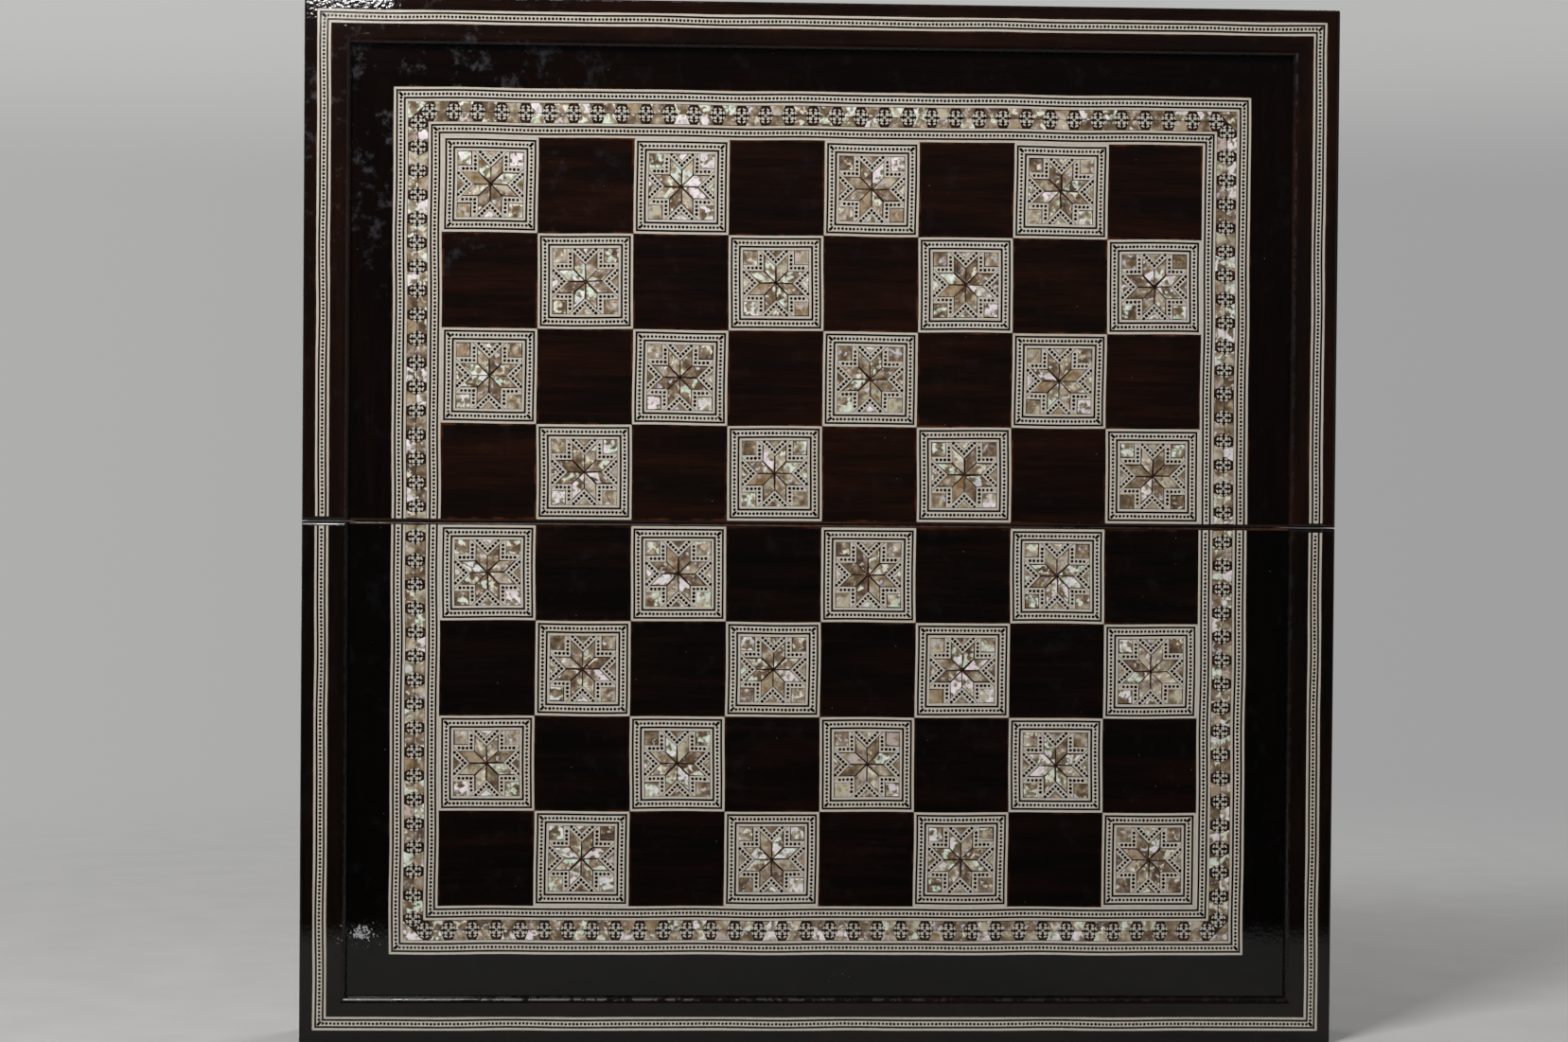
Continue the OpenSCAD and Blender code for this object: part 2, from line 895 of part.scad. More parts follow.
lower_front_rail();
lower_left_rail();
lower_right_rail();
lower_hinge_rail();
lower_panel();
lower_margin_veneer();
lower_dark_squares();
lower_tile_grounds();
lower_tile_bone();
lower_tile_ebony();
lower_tile_strips();
lower_star_pearl();
lower_corner_pearl();
lower_rim_bone();
lower_rim_ebony();
lower_border_bone();
lower_border_ebony();
lower_band_ground();
lower_band_pearl();
lower_rosettes();
lower_floor_veneer();
lower_floor_border();
lower_light_points();
lower_dark_points();
lower_mouth_strip();
lower_hinge_leaves();
lower_hinge_screws();
hinge_pins();
latch_studs();
upper_front_rail();
upper_left_rail();
upper_right_rail();
upper_hinge_rail();
upper_panel();
upper_margin_veneer();
upper_dark_squares();
upper_tile_grounds();
upper_tile_bone();
upper_tile_ebony();
upper_tile_strips();
upper_star_pearl();
upper_corner_pearl();
upper_rim_bone();
upper_rim_ebony();
upper_border_bone();
upper_border_ebony();
upper_band_ground();
upper_band_pearl();
upper_rosettes();
upper_floor_veneer();
upper_floor_border();
upper_light_points();
upper_dark_points();
upper_mouth_strip();
upper_hinge_leaves();
upper_hinge_screws();
latch_pivots();
left_hook();
right_hook();
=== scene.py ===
"""Looks of an inlaid folding games board, built round its construction model.

The board is open flat and stands on one long edge. Every inlaid piece is modelled here as
it is sawn and laid by hand: bone and ebony lines, black pegs, pearl lozenges and rosettes.
The lower half is made first. Its pieces are copied and turned onto the upper half.
"""

import json
import math

import bmesh
import bpy
import numpy as np
from bpy.props import FloatProperty, FloatVectorProperty, IntProperty, PointerProperty
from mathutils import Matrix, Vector


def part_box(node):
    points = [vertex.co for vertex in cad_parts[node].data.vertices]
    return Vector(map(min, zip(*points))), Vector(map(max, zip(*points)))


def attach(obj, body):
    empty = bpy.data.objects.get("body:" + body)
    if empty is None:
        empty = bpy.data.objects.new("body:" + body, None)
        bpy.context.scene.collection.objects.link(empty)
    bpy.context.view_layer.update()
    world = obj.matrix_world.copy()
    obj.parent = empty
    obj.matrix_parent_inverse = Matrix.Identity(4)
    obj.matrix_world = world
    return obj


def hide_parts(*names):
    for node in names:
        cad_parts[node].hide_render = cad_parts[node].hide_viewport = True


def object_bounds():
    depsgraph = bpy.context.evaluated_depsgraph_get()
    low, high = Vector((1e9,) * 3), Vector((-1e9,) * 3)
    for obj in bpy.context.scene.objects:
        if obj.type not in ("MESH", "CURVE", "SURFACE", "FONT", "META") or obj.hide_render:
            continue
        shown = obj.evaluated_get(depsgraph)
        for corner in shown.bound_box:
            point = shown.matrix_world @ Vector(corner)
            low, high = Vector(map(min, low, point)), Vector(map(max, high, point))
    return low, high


bl_info = {
    "name": "Inlaid Games Board",
    "version": (1, 0, 0),
    "blender": (4, 5, 0),
    "location": "View3D > Sidebar > Games Board",
    "description": "Dresses a folding games board in lacquered wood, bone and mother-of-pearl",
    "category": "Object",
}

MM = 0.001
QUARTER = math.pi / 2
EIGHTH = math.pi / 8
ROOT = math.sqrt(2)

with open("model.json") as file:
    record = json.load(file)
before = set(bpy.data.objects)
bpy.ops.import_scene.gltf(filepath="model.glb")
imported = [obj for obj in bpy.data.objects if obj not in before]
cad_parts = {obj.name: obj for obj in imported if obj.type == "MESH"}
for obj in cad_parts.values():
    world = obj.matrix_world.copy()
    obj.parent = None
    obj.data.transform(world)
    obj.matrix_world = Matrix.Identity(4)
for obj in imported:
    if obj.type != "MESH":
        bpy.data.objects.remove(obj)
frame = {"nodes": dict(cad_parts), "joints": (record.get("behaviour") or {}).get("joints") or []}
CAD_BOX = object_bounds()
NODES = frame["nodes"]
HALVES = ("lower", "upper")

# Places that the construction model fixes, all on the lower half
SEAM_Z = next(joint["pos_m"][2] for joint in frame["joints"] if joint["name"] == "fold")
CASE_X = CAD_BOX[1].x
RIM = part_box("lower_rim_bone")
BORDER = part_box("lower_border_bone")
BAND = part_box("lower_band_ground")
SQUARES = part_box("lower_dark_squares")
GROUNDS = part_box("lower_tile_grounds")

# Squares in a row and rows in a half, the joint between two squares, the size of a square,
# and the widths of a border strip and of the band
COLUMNS, ROWS = 8, 4
JOINT = 2 * (SEAM_Z - SQUARES[1].z) - (SEAM_Z - BORDER[1].z) * 2
SQUARE_W = (SQUARES[1].x - SQUARES[0].x + JOINT) / COLUMNS
SQUARE_H = (SQUARES[1].z - SQUARES[0].z + JOINT) / ROWS
STRIP_W = BAND[0].x - BORDER[0].x
BAND_W = SQUARES[0].x - JOINT / 2 - STRIP_W - BAND[0].x

# Blemishes of the lacquer: the middle of the grey smears, smudges with a painted reflection of the
# lamps at the upper left, and the worn spot, wider than high
SMEAR_REFLECTIONS = Vector((-CASE_X * 0.82, 0, SEAM_Z + CASE_X * 0.82))
SPOT = Vector((29 * MM - CASE_X, SQUARES[0].y, 53 * MM))
SPOT_SHAPE = Vector((1, 1, 1.7))

# Each lamp has a place, a width and height, and a power. The flash is what the lacquer
# mirrors as glints at the upper left. Both lamps behind light the back for other views.
LAMPS = {
    "key": ((-0.45, -0.8, 1.25), (0.36, 0.36), 15.5),
    "fill": ((1.3, -1.7, 0.7), (1.0, 1.0), 1.0),
    "flash": ((-0.4, -1.5, 0.735), (0.12, 0.006), 0.2),
    "back_key": ((1.0, 1.5, 1.2), (0.8, 0.8), 14.0),
    "back_fill": ((-1.3, 1.4, 0.6), (1.0, 1.0), 8.0),
}

# How squarely a face looks forwards or backwards to be chosen, and the slack of a cut
FACING = 0.9
SLACK = 1e-7


def length(name, description, millimetres):
    """A length property, given in millimetres."""
    metres = millimetres * MM
    return FloatProperty(name=name, description=description, default=metres, unit="LENGTH")


def hex_linear(code):
    """A colour written as an sRGB hex number, as linear red, green and blue."""
    parts = [int(code[i : i + 2], 16) / 255 for i in (1, 3, 5)]
    return tuple(c / 12.92 if c <= 0.04045 else ((c + 0.055) / 1.055) ** 2.4 for c in parts)


def rgba(colour):
    """A linear colour or an sRGB hex number as linear red, green, blue and alpha."""
    return (*(hex_linear(colour) if isinstance(colour, str) else colour), 1.0)


def tint(name, description, code):
    """A colour property, given as an sRGB hex number."""
    colour = hex_linear(code)
    return FloatVectorProperty(name=name, description=description, default=colour, subtype="COLOR")


class InlaySizes(bpy.types.PropertyGroup):
    """Widths of the sawn pieces, and how they lie"""

    bone_line: length("Bone line", "Width of a bone line", 1.1)
    ebony_line: length("Ebony line", "Width of an ebony line", 0.95)
    rim_strip: length("Rim strip", "Width of the strip in the rim", 6.6)
    kerf: length("Kerf", "Saw cut round a piece", 0.22)
    peg: length("Peg", "Diameter of a black peg", 1.5)
    pitch: length("Pitch", "Distance between two pegs", 1.85)
    depth: length("Depth", "Thickness of the inlay", 0.7)
    ease: length("Eased edge", "Width of the softened edge of a piece", 0.04)
    proud: length("Proud", "How far the pegs stand above the squares", 0.03)
    polish: length("Polish", "How far bone and pearl lie below the pegs", 0.02)
    mastic: length("Mastic", "How far the dark filling lies below the pegs", 0.08)
    wander: length("Wander", "How far a long strip strays from its line", 0.22)
    wander_length: length("Wander length", "Distance over which it strays and returns", 85)


class TileSizes(bpy.types.PropertyGroup):
    """Sizes of a star tile"""

    dots: length("Dotted band", "Width of the dotted band of the frame", 2.9)
    corner: length("Corner pearl", "Side of a corner pearl", 6.5)
    pocket: length("Corner pocket", "Side of the pocket of a corner pearl", 7.1)
    strip: length("Star strip", "Width of the strips round the star", 3)
    chevron: length("Chevron", "Depth of a chevron", 7.8)
    star_gap: length("Star gap", "Ground left round the star", 1.0)
    star_line: length("Star line", "Dark line between the lozenges of the star", 0.7)
    peg: length("Star peg", "Diameter of a peg in the strips round the star", 1.62)
    chevron_pitch: length("Chevron pegs", "Distance between the pegs of a chevron", 1.8)
    corner_pitch: length("Corner pegs", "Distance between the pegs of a corner strip", 1.95)


class BandSizes(bpy.types.PropertyGroup):
    """Sizes of the pearl band"""

    rosette: length("Rosette", "Width of a rosette across its corners", 7.5)
    pitch: length("Pitch", "Distance between two rosettes", 11.4)
    corner: length("Corner", "Outer corner to the nearest rosette", 10.4)
    seed: IntProperty(name="Seed", description="Choice of the pearls", default=7)


class FinishColours(bpy.types.PropertyGroup):
    """Base colours of the finishes"""

    # The two stains differ as painted light: the upper one lighter and browner, the lower one
    # darker, for how the two halves catch the light
    lower_stain: tint("Lower stain", "Stain of the lower half", "#0b0806")
    upper_stain: tint("Upper stain", "Stain of the upper half", "#130b08")
    streak: tint("Streak", "Red-brown streaks in the stain", "#2a140c")
    rubbed: tint("Rubbed", "Wood along the inlay, where the stain is thin", "#6a3519")
    dust: tint("Dust", "Specks of dust on the lacquer", "#8c8780")
    # Grey of the smears: smudged lacquer with a painted reflection of the lamps at the upper left
    smear: tint("Smear", "Smears on the lacquer", "#5c5c62")
    worn: tint("Worn", "Worn spot of the lacquer", "#b6b4b6")
    bone: tint("Bone", "Polished bone", "#d0c9be")
    aged_bone: tint("Aged bone", "Yellower bone", "#c5b8a5")
    pale: tint("Pale", "Pale layers of the shell", "#cfc4b2")
    pearl: tint("Pearl", "Mother-of-pearl away from the light", "#968471")
    umber: tint("Umber", "Dark layers of the shell", "#745f4b")
    shell: tint("Shell", "Darkest layers of the shell", "#55463a")
    amber: tint("Amber", "Amber shell", "#8a6534")
    rosewood: tint("Rosewood", "Playing floor", "#5a2f1b")
    maple: tint("Maple", "Light points", "#c9a36c")


def sizes():
    return bpy.context.scene.board_inlay


def colours():
    return bpy.context.scene.board_colours


# Selecting, copying and joining


def pick(*objects):
    """Goes to object mode and selects just these objects, the first one active."""
    if bpy.context.object and bpy.context.object.mode != "OBJECT":
        bpy.ops.object.mode_set(mode="OBJECT")
    bpy.ops.object.select_all(action="DESELECT")
    for item in objects:
        item.select_set(True)
    if objects:
        bpy.context.view_layer.objects.active = objects[0]


def settle(item):
    """Puts an object's place into its mesh."""
    pick(item)
    bpy.ops.object.transform_apply(location=True, rotation=True, scale=True)
    return item


def copy_of(item, place=(0, 0), quarters=0):
    """A copy with its own mesh, moved in X and Z and turned by quarter turns."""
    twin = item.copy()
    twin.data = item.data.copy()
    twin.location = (place[0], 0, place[1])
    twin.rotation_euler = (0, -QUARTER * quarters, 0)
    bpy.context.scene.collection.objects.link(twin)
    return twin


def join(pieces, name):
    """One or more objects as one, with its place in its mesh."""
    pick(*pieces)
    if len(pieces) > 1:
        bpy.ops.object.join()
    whole = bpy.context.object
    whole.name = whole.data.name = name
    return settle(whole)


def discard(*items):
    for item in items:
        bpy.data.objects.remove(item)


def choose_faces(item, side):
    """In edit mode, selects just the faces that look forwards, side -1, or backwards, 1."""
    bpy.ops.mesh.select_all(action="DESELECT")
    mesh = bmesh.from_edit_mesh(item.data)
    for face in mesh.faces:
        if face.normal.y * side > FACING:
            face.select_set(True)
    bmesh.update_edit_mesh(item.data)


def cut(place, outwards, clear=False):
    """In edit mode, cuts everything along a plane, and can clear what lies outside."""
    bpy.ops.mesh.select_all(action="SELECT")
    bpy.ops.mesh.bisect(plane_co=place, plane_no=outwards, clear_outer=clear, threshold=SLACK)


def ease_edge(piece, width):
    """Softens the front edge of a piece and leaves edit mode."""
    choose_faces(piece, -1)
    bpy.ops.mesh.inset(thickness=width, depth=sizes().ease)
    bpy.ops.object.mode_set(mode="OBJECT")


def turned(angle):
    """A function that turns a point or a direction in X and Z."""
    c, s = math.cos(angle), math.sin(angle)
    return lambda x, z: Vector((x * c - z * s, x * s + z * c))


# Sawing and laying


def field_faces():
    """The Y of the front of the pegs, of bone and pearl, and of the dark filling."""
    inlay = sizes()
    face = SQUARES[0].y - inlay.proud
    return face, face + inlay.polish, face + inlay.mastic


def strip_widths(dotted):
    """Widths across a dotted strip, from line to line: bone and ebony by turns."""
    inlay = sizes()
    return inlay.bone_line, inlay.ebony_line, dotted, inlay.ebony_line, inlay.bone_line


def saw(outline, face, depth=None):
    """One flat piece, sawn from a sheet along the straight sides of a convex outline.

    The outline is a list of points in X and Z. What lies outside each side is cut off. The
    piece then gets its thickness and a softened front edge. face is the Y of its front.
    """
    inlay = sizes()
    depth = depth or inlay.depth
    points = [Vector(point) for point in outline]
    sides = list(zip(points, points[1:] + points[:1]))
    winding = math.copysign(1, sum(a.cross(b) for a, b in sides))
    low, high = (Vector([end(way) for way in zip(*points)]) for end in (min, max))
    pick()
    place = ((low.x + high.x) / 2, face + inlay.ease, (low.y + high.y) / 2)
    bpy.ops.mesh.primitive_plane_add(size=1, location=place, rotation=(QUARTER, 0, 0))
    piece = bpy.context.object
    piece.scale = (high.x - low.x, high.y - low.y, 1)
    settle(piece)
    bpy.ops.object.mode_set(mode="EDIT")
    for start, end in sides:
        along = (end - start).normalized() * winding
        cut((start.x, 0, start.y), (along.y, 0, -along.x), True)
    bpy.ops.mesh.select_all(action="SELECT")
    bpy.ops.mesh.extrude_region_move(TRANSFORM_OT_translate={"value": (0, depth - inlay.ease, 0)})
    bpy.ops.mesh.select_all(action="SELECT")
    bpy.ops.mesh.normals_make_consistent(inside=False)
    ease_edge(piece, inlay.ease)
    return piece


def corners_of(x, z):
    """The corners of a rectangle round the origin, in order."""
    return [(-x, -z), (x, -z), (x, z), (-x, z)]


def mitred_bar(start, end, width, inward, face, depth=None, mitres=(1, 1)):
    """A straight bar along one side of an outline, with ends cut at 45 degrees or square.

    inward is the direction from the outline towards the middle of what it frames. mitres
    has a 1 for each end that is mitred and a 0 for each that is square.
    """
    start, end, inward = Vector(start), Vector(end), Vector(inward)
    along = (end - start).normalized()
    near, far = mitres
    gap = along * sizes().kerf / 4
    start, end = start + gap * near, end - gap * far
    inner = end + (inward - along * far) * width, start + (inward + along * near) * width
    return saw([start, end, *inner], face, depth)


def ring_bars(x, z, width, face):
    """Four mitred bars just inside the rectangle that reaches x and z from the origin."""
    corners, inwards = corners_of(x, z), [(0, 1), (-1, 0), (0, -1), (1, 0)]
    ends = zip(corners, corners[1:] + corners[:1], inwards)
    return [mitred_bar(start, end, width, inward, face) for start, end, inward in ends]


def open_bars(inset, bottom, top, width, face, depth=None):
    """Bars along the front and both ends of a half, open at the seam."""
    x = CASE_X - inset
    return [
        mitred_bar((-x, bottom), (x, bottom), width, (0, 1), face, depth),
        mitred_bar((x, bottom), (x, top), width, (-1, 0), face, depth, (1, 0)),
        mitred_bar((-x, top), (-x, bottom), width, (1, 0), face, depth, (0, 1)),
    ]


def make_peg(face, diameter):
    """One black peg: the end of an ebony rod with eight sides, with its edge softened."""
    inlay = sizes()
    pick()
    bpy.ops.mesh.primitive_cylinder_add(
        vertices=8,
        radius=diameter / 2,
        depth=inlay.depth / 2,
        location=(0, face + inlay.ease + inlay.depth / 4, 0),
        rotation=(QUARTER, EIGHTH, 0),
    )
    rod = settle(bpy.context.object)
    bpy.ops.object.mode_set(mode="EDIT")
    choose_faces(rod, 1)
    bpy.ops.mesh.delete(type="FACE")
    ease_edge(rod, inlay.ease * 2)
    return rod


def peg_row(rod, start, end):
    """A row of pegs from start up to, but not on, end, evenly spaced at about the pitch."""
    start, end = Vector(start), Vector(end)
    count = max(1, round((end - start).length / sizes().pitch))
    step = (end - start) / count
    row = copy_of(rod, start)
    repeat = row.modifiers.new("Row", "ARRAY")
    repeat.count = count
    repeat.use_relative_offset = False
    repeat.use_constant_offset = True
    repeat.constant_offset_displace = (step.x, 0, step.y)
    pick(row)
    bpy.ops.object.modifier_apply(modifier=repeat.name)
    return row


def corner_smudge(rod, corner, outward):
    """Two pegs more at a mitre, where the dotted strips meet in a dark diagonal."""
    shift = Vector(outward) * sizes().peg * 0.3
    return [copy_of(rod, Vector(corner) + shift), copy_of(rod, Vector(corner) - shift)]


def kink(item, step):
    """Cross cuts at every step, so that long pieces can bend.

    The first cut comes before a whole step, so that no cut meets a corner of the piece.
    """
    low, high = Vector(item.bound_box[0]), Vector(item.bound_box[6])
    pick(item)
    bpy.ops.object.mode_set(mode="EDIT")
    for axis in (Vector((1, 0, 0)), Vector((0, 0, 1))):
        reach = (high - low).dot(axis)
        for number in range(1, int(reach / step) + 1):
            cut(low + axis * (number - 0.37) * step, axis)
    bpy.ops.object.mode_set(mode="OBJECT")


def read_places(mesh):
    """All points of a mesh as an array."""
    places = np.empty(len(mesh.vertices) * 3)
    mesh.vertices.foreach_get("co", places)
    return places.reshape(-1, 3)


def write_places(mesh, places):
    mesh.vertices.foreach_set("co", places.ravel())
    mesh.update()


def stray(item, reach, wave, phase):
    """Moves all points by slow waves, as lines laid by hand are never quite straight.

    Pieces that are moved by the same waves keep their joints. Each way has two waves whose
    lengths and slants don't match, and the upright ones die away over the last 20 mm, so
    that ends at the seam stay there.
    """
    places = read_places(item.data)
    x, z = places[:, 0] * math.tau / wave, places[:, 2] * math.tau / wave
    hold = np.clip(np.abs(places[:, 2] - SEAM_Z) / (20 * MM), 0, 1)
    across = np.sin(z + phase) + 0.6 * np.sin(0.37 * x - 1.7 * z + 2.3 * phase)
    up = np.sin(x + 1.9 * phase) + 0.6 * np.sin(1.6 * x + 0.45 * z + 0.7 * phase)
    places[:, 0] += reach * across / 1.6
    places[:, 2] += hold * reach * up / 1.6
    write_places(item.data, places)


def part_labels(mesh):
    """The number of the loose part that each point belongs to."""
    edges = np.empty(len(mesh.edges) * 2, np.int32)
    mesh.edges.foreach_get("vertices", edges)
    first, second = edges.reshape(-1, 2).T
    labels = np.arange(len(mesh.vertices))
    while True:
        lowest = np.minimum(labels[first], labels[second])
        spread = labels.copy()
        np.minimum.at(spread, first, lowest)
        np.minimum.at(spread, second, lowest)
        if (spread == labels).all():
            return np.unique(labels, return_inverse=True)[1]
        labels = spread


def handwork(item, seed, shift, turn, growth):
    """Moves, turns and resizes each loose part a little, as pieces laid by hand lie."""
    labels = part_labels(item.data)
    count = labels.max() + 1
    places = read_places(item.data)
    share = np.bincount(labels)
    middle = np.stack([np.bincount(labels, places[:, i]) / share for i in (0, 2)], 1)
    chance = np.random.default_rng(seed)
    home = (middle + chance.uniform(-shift, shift, (count, 2)))[labels]
    angle = chance.uniform(-turn, turn, count)[labels]
    grown = 1 + chance.uniform(-growth, growth, count)[labels]
    across, up = (places[:, (0, 2)] - middle[labels]).T * grown
    places[:, 0] = home[:, 0] + across * np.cos(angle) - up * np.sin(angle)
    places[:, 2] = home[:, 1] + across * np.sin(angle) + up * np.cos(angle)
    write_places(item.data, places)


def give_tones(item, seed):
    """Writes a chance number from 0 to 1 on all faces of each loose part."""
    mesh = item.data
    labels = part_labels(mesh)
    tones = np.random.default_rng(seed).uniform(0, 1, labels.max() + 1)
    corners = [face.vertices[0] for face in mesh.polygons]
    tone = mesh.attributes.new("tone", "FLOAT", "FACE")
    tone.data.foreach_set("value", tones[labels[corners]].astype(np.float32))


def lay(pieces, name, node, material, slot, seed, loose=(0, 0, 0), rough=0.0, bend=0):
    """Joins lower pieces and lays them, with an upper copy, in place of a node if it has one.

    loose is the shift in millimetres, the turn and the growth of each part by chance. rough
    is how far their corners stray and bend the step of the cross cuts, both in millimetres.
    """
    whole = join(pieces, name)
    if bend:
        kink(whole, bend * MM)
    upper = copy_of(whole)
    pick(upper)
    bpy.ops.transform.rotate(value=math.pi, orient_axis="Y", center_override=(0, 0, SEAM_Z))
    settle(upper)
    inlay = sizes()
    for number, (half, laid) in enumerate(zip(HALVES, (whole, upper))):
        laid.name = laid.data.name = half + "_" + name
        stray(laid, inlay.wander, inlay.wander_length, number)
        if rough:
            stray(laid, rough * MM, 6 * MM, seed + number)
        if any(loose):
            handwork(laid, seed + number, loose[0] * MM, *loose[1:])
        give_tones(laid, seed + 2 + number)
        laid.data.materials.clear()
        laid.data.materials.append(material)
        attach(laid, half + "_half")
        if node:
            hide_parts(half + "_" + node)


# Building materials from nodes


class Nodes:
    """The node tree of a material or world, called n where it is filled."""

    def __init__(self, owner):
        owner.use_nodes = True
        self.owner, self.tree = owner, owner.node_tree
        self.tree.nodes.clear()

    def feed(self, node, inputs):
        """Links the inputs of a node to sockets, or sets them."""
        for key, value in inputs.items():
            socket = node.inputs[key]
            if isinstance(value, bpy.types.NodeSocket):
                self.tree.links.new(value, socket)
            else:
                socket.default_value = rgba(value) if socket.type == "RGBA" else value

    def add(self, kind, *inputs, output=0, stops=(), **settings):
        """Adds a shader node with its settings and inputs, and hands back one of its outputs.

        The inputs are sockets or values, in order or in one table by name or number. The
        stops are the positions and colours of a colour ramp.
        """
        node = self.tree.nodes.new("ShaderNode" + kind)
        for name, value in settings.items():
            setattr(node, name, value)
        for number, (position, colour) in enumerate(stops):
            elements = node.color_ramp.elements
            element = elements[number] if number < len(elements) else elements.new(position)
            element.position, element.color = position, rgba(colour)
        by_name = inputs and isinstance(inputs[0], dict)
        self.feed(node, inputs[0] if by_name else dict(enumerate(inputs)))
        return node.outputs[output] if node.outputs else node


class Look(Nodes):
    """A material in the making: its nodes, with its shader and its object coordinates."""

    def __init__(self, name):
        super().__init__(bpy.data.materials.new(name))
        self.shader = self.add("BsdfPrincipled")
        self.output = self.add("OutputMaterial", self.shader)
        self.place = self.add("TexCoord", output="Object")

    def shade(self, colour, roughness, others):
        """Sets or links the shader, and hands back the material."""
        self.feed(self.shader.node, {"Base Color": colour, "Roughness": roughness, **others})
        return self.owner

    def lacquer(self, colour, gloss, ripple=2.4, depth=0.012):
        """Thick gloss lacquer: a slow ripple, duller finger marks, and edges rubbed in patches."""
        marks = self.add(
            "MapRange",
            self.add(
                "TexNoise",
                {"Vector": self.place, "Scale": 1 / (30 * MM), "Detail": 4.0, "Roughness": 0.65},
            ),
            0.54,
            0.74,
            gloss,
            gloss + 0.05,
        )
        facing = self.add("SeparateXYZ", self.add("NewGeometry", output="Normal"), output="Y")
        facing = self.add("Math", facing, operation="ABSOLUTE")
        edge = self.add(
            "Math",
            self.add("MapRange", facing, 0.93, 0.99, 1.0, 0.0, interpolation_type="SMOOTHSTEP"),
            self.add("MapRange", facing, 0.02, 0.1, interpolation_type="SMOOTHSTEP"),
            operation="MULTIPLY",
        )
        rubbed = self.add(
            "Math",
            edge,
            self.add(
                "MapRange",
                self.add("TexNoise", {"Vector": self.place, "Scale": 1 / (4 * MM)}),
                0.42,
                0.56,
                0.0,
                0.3,
                interpolation_type="SMOOTHSTEP",
            ),
            operation="MULTIPLY",
        )
        bent = self.add(
            "Bump",
            {
                "Height": self.add(
                    "TexNoise", {"Vector": self.place, "Scale": 1 / (ripple * MM), "Detail": 1.0}
                ),
                "Distance": depth * MM,
            },
        )
        return self.shade(
            colour, self.add("Math", marks, rubbed, operation="ADD"), {"Normal": bent}
        )


def finish(make):
    """The material that a function fills, made the first time that it is asked for."""
    name = make.__name__
    return bpy.data.materials.get(name) or make(Look(name))


def from_seam(n):
    """Distances of a point from the middle of the board, sideways and upwards."""
    split = n.add("SeparateXYZ", n.place).node.outputs
    above = n.add("Math", split["Z"], SEAM_Z, operation="SUBTRACT")
    return [n.add("Math", way, operation="ABSOLUTE") for way in (split["X"], above)]


def round_the_case(n):
    """Coordinates whose X follows the grain of the mitred rails round the case."""
    split = n.add("SeparateXYZ", n.place).node.outputs
    side, above = from_seam(n)
    lead = n.add("Math", side, CASE_X - SEAM_Z, operation="SUBTRACT")
    upright = n.add("CombineXYZ", {"X": split["Z"], "Y": split["Y"], "Z": split["X"]})
    choice = {0: n.add("Math", lead, above, operation="GREATER_THAN"), 4: n.place, 5: upright}
    return n.add("Mix", choice, data_type="VECTOR", output=1)


def outline_distance(n, width, height):
    """How far a point is from the outline of a rectangle round the middle of the board."""
    side, above = from_seam(n)
    beyond = (
        n.add("Math", side, width, operation="SUBTRACT"),
        n.add("Math", above, height, operation="SUBTRACT"),
    )
    return n.add("Math", n.add("Math", *beyond, operation="MAXIMUM"), operation="ABSOLUTE")


def grain(n, along, figure, pores, dark, light, contrast):
    """Straight-grained wood: broad figure and fine pores, drawn out along X."""
    streaks = n.add(
        "TexNoise",
        {
            "Vector": n.add("Mapping", {"Vector": along, "Scale": (0.08, 1.0, 1.0)}),
            "Scale": 1 / (figure * MM),
            "Detail": 3.0,
            "Roughness": 0.6,
        },
    )
    wide = n.add(
        "TexNoise",
        {
            "Vector": n.add("Mapping", {"Vector": along, "Scale": (0.3, 1.0, 1.0)}),
            "Scale": 1 / (figure * 4 * MM),
        },
    )
    streaks = n.add(
        "Math",
        n.add("Math", streaks, 0.6, operation="MULTIPLY"),
        n.add("Math", wide, 0.4, operation="MULTIPLY"),
        operation="ADD",
    )
    colour = n.add(
        "Mix",
        {
            0: n.add(
                "MapRange", streaks, 0.4, 0.66, 0.0, contrast, interpolation_type="SMOOTHSTEP"
            ),
            6: dark,
            7: light,
        },
        data_type="RGBA",
        output=2,
    )
    lines = n.add(
        "TexNoise",
        {
            "Vector": n.add("Mapping", {"Vector": along, "Scale": (0.03, 1.0, 1.0)}),
            "Scale": 1 / (pores * MM),
        },
    )
    return n.add(
        "Mix",
        {0: 1.0, 6: colour, 7: n.add("MapRange", lines, 0.3, 0.6, 0.72, 1.04)},
        data_type="RGBA",
        blend_type="MULTIPLY",
        output=2,
    )


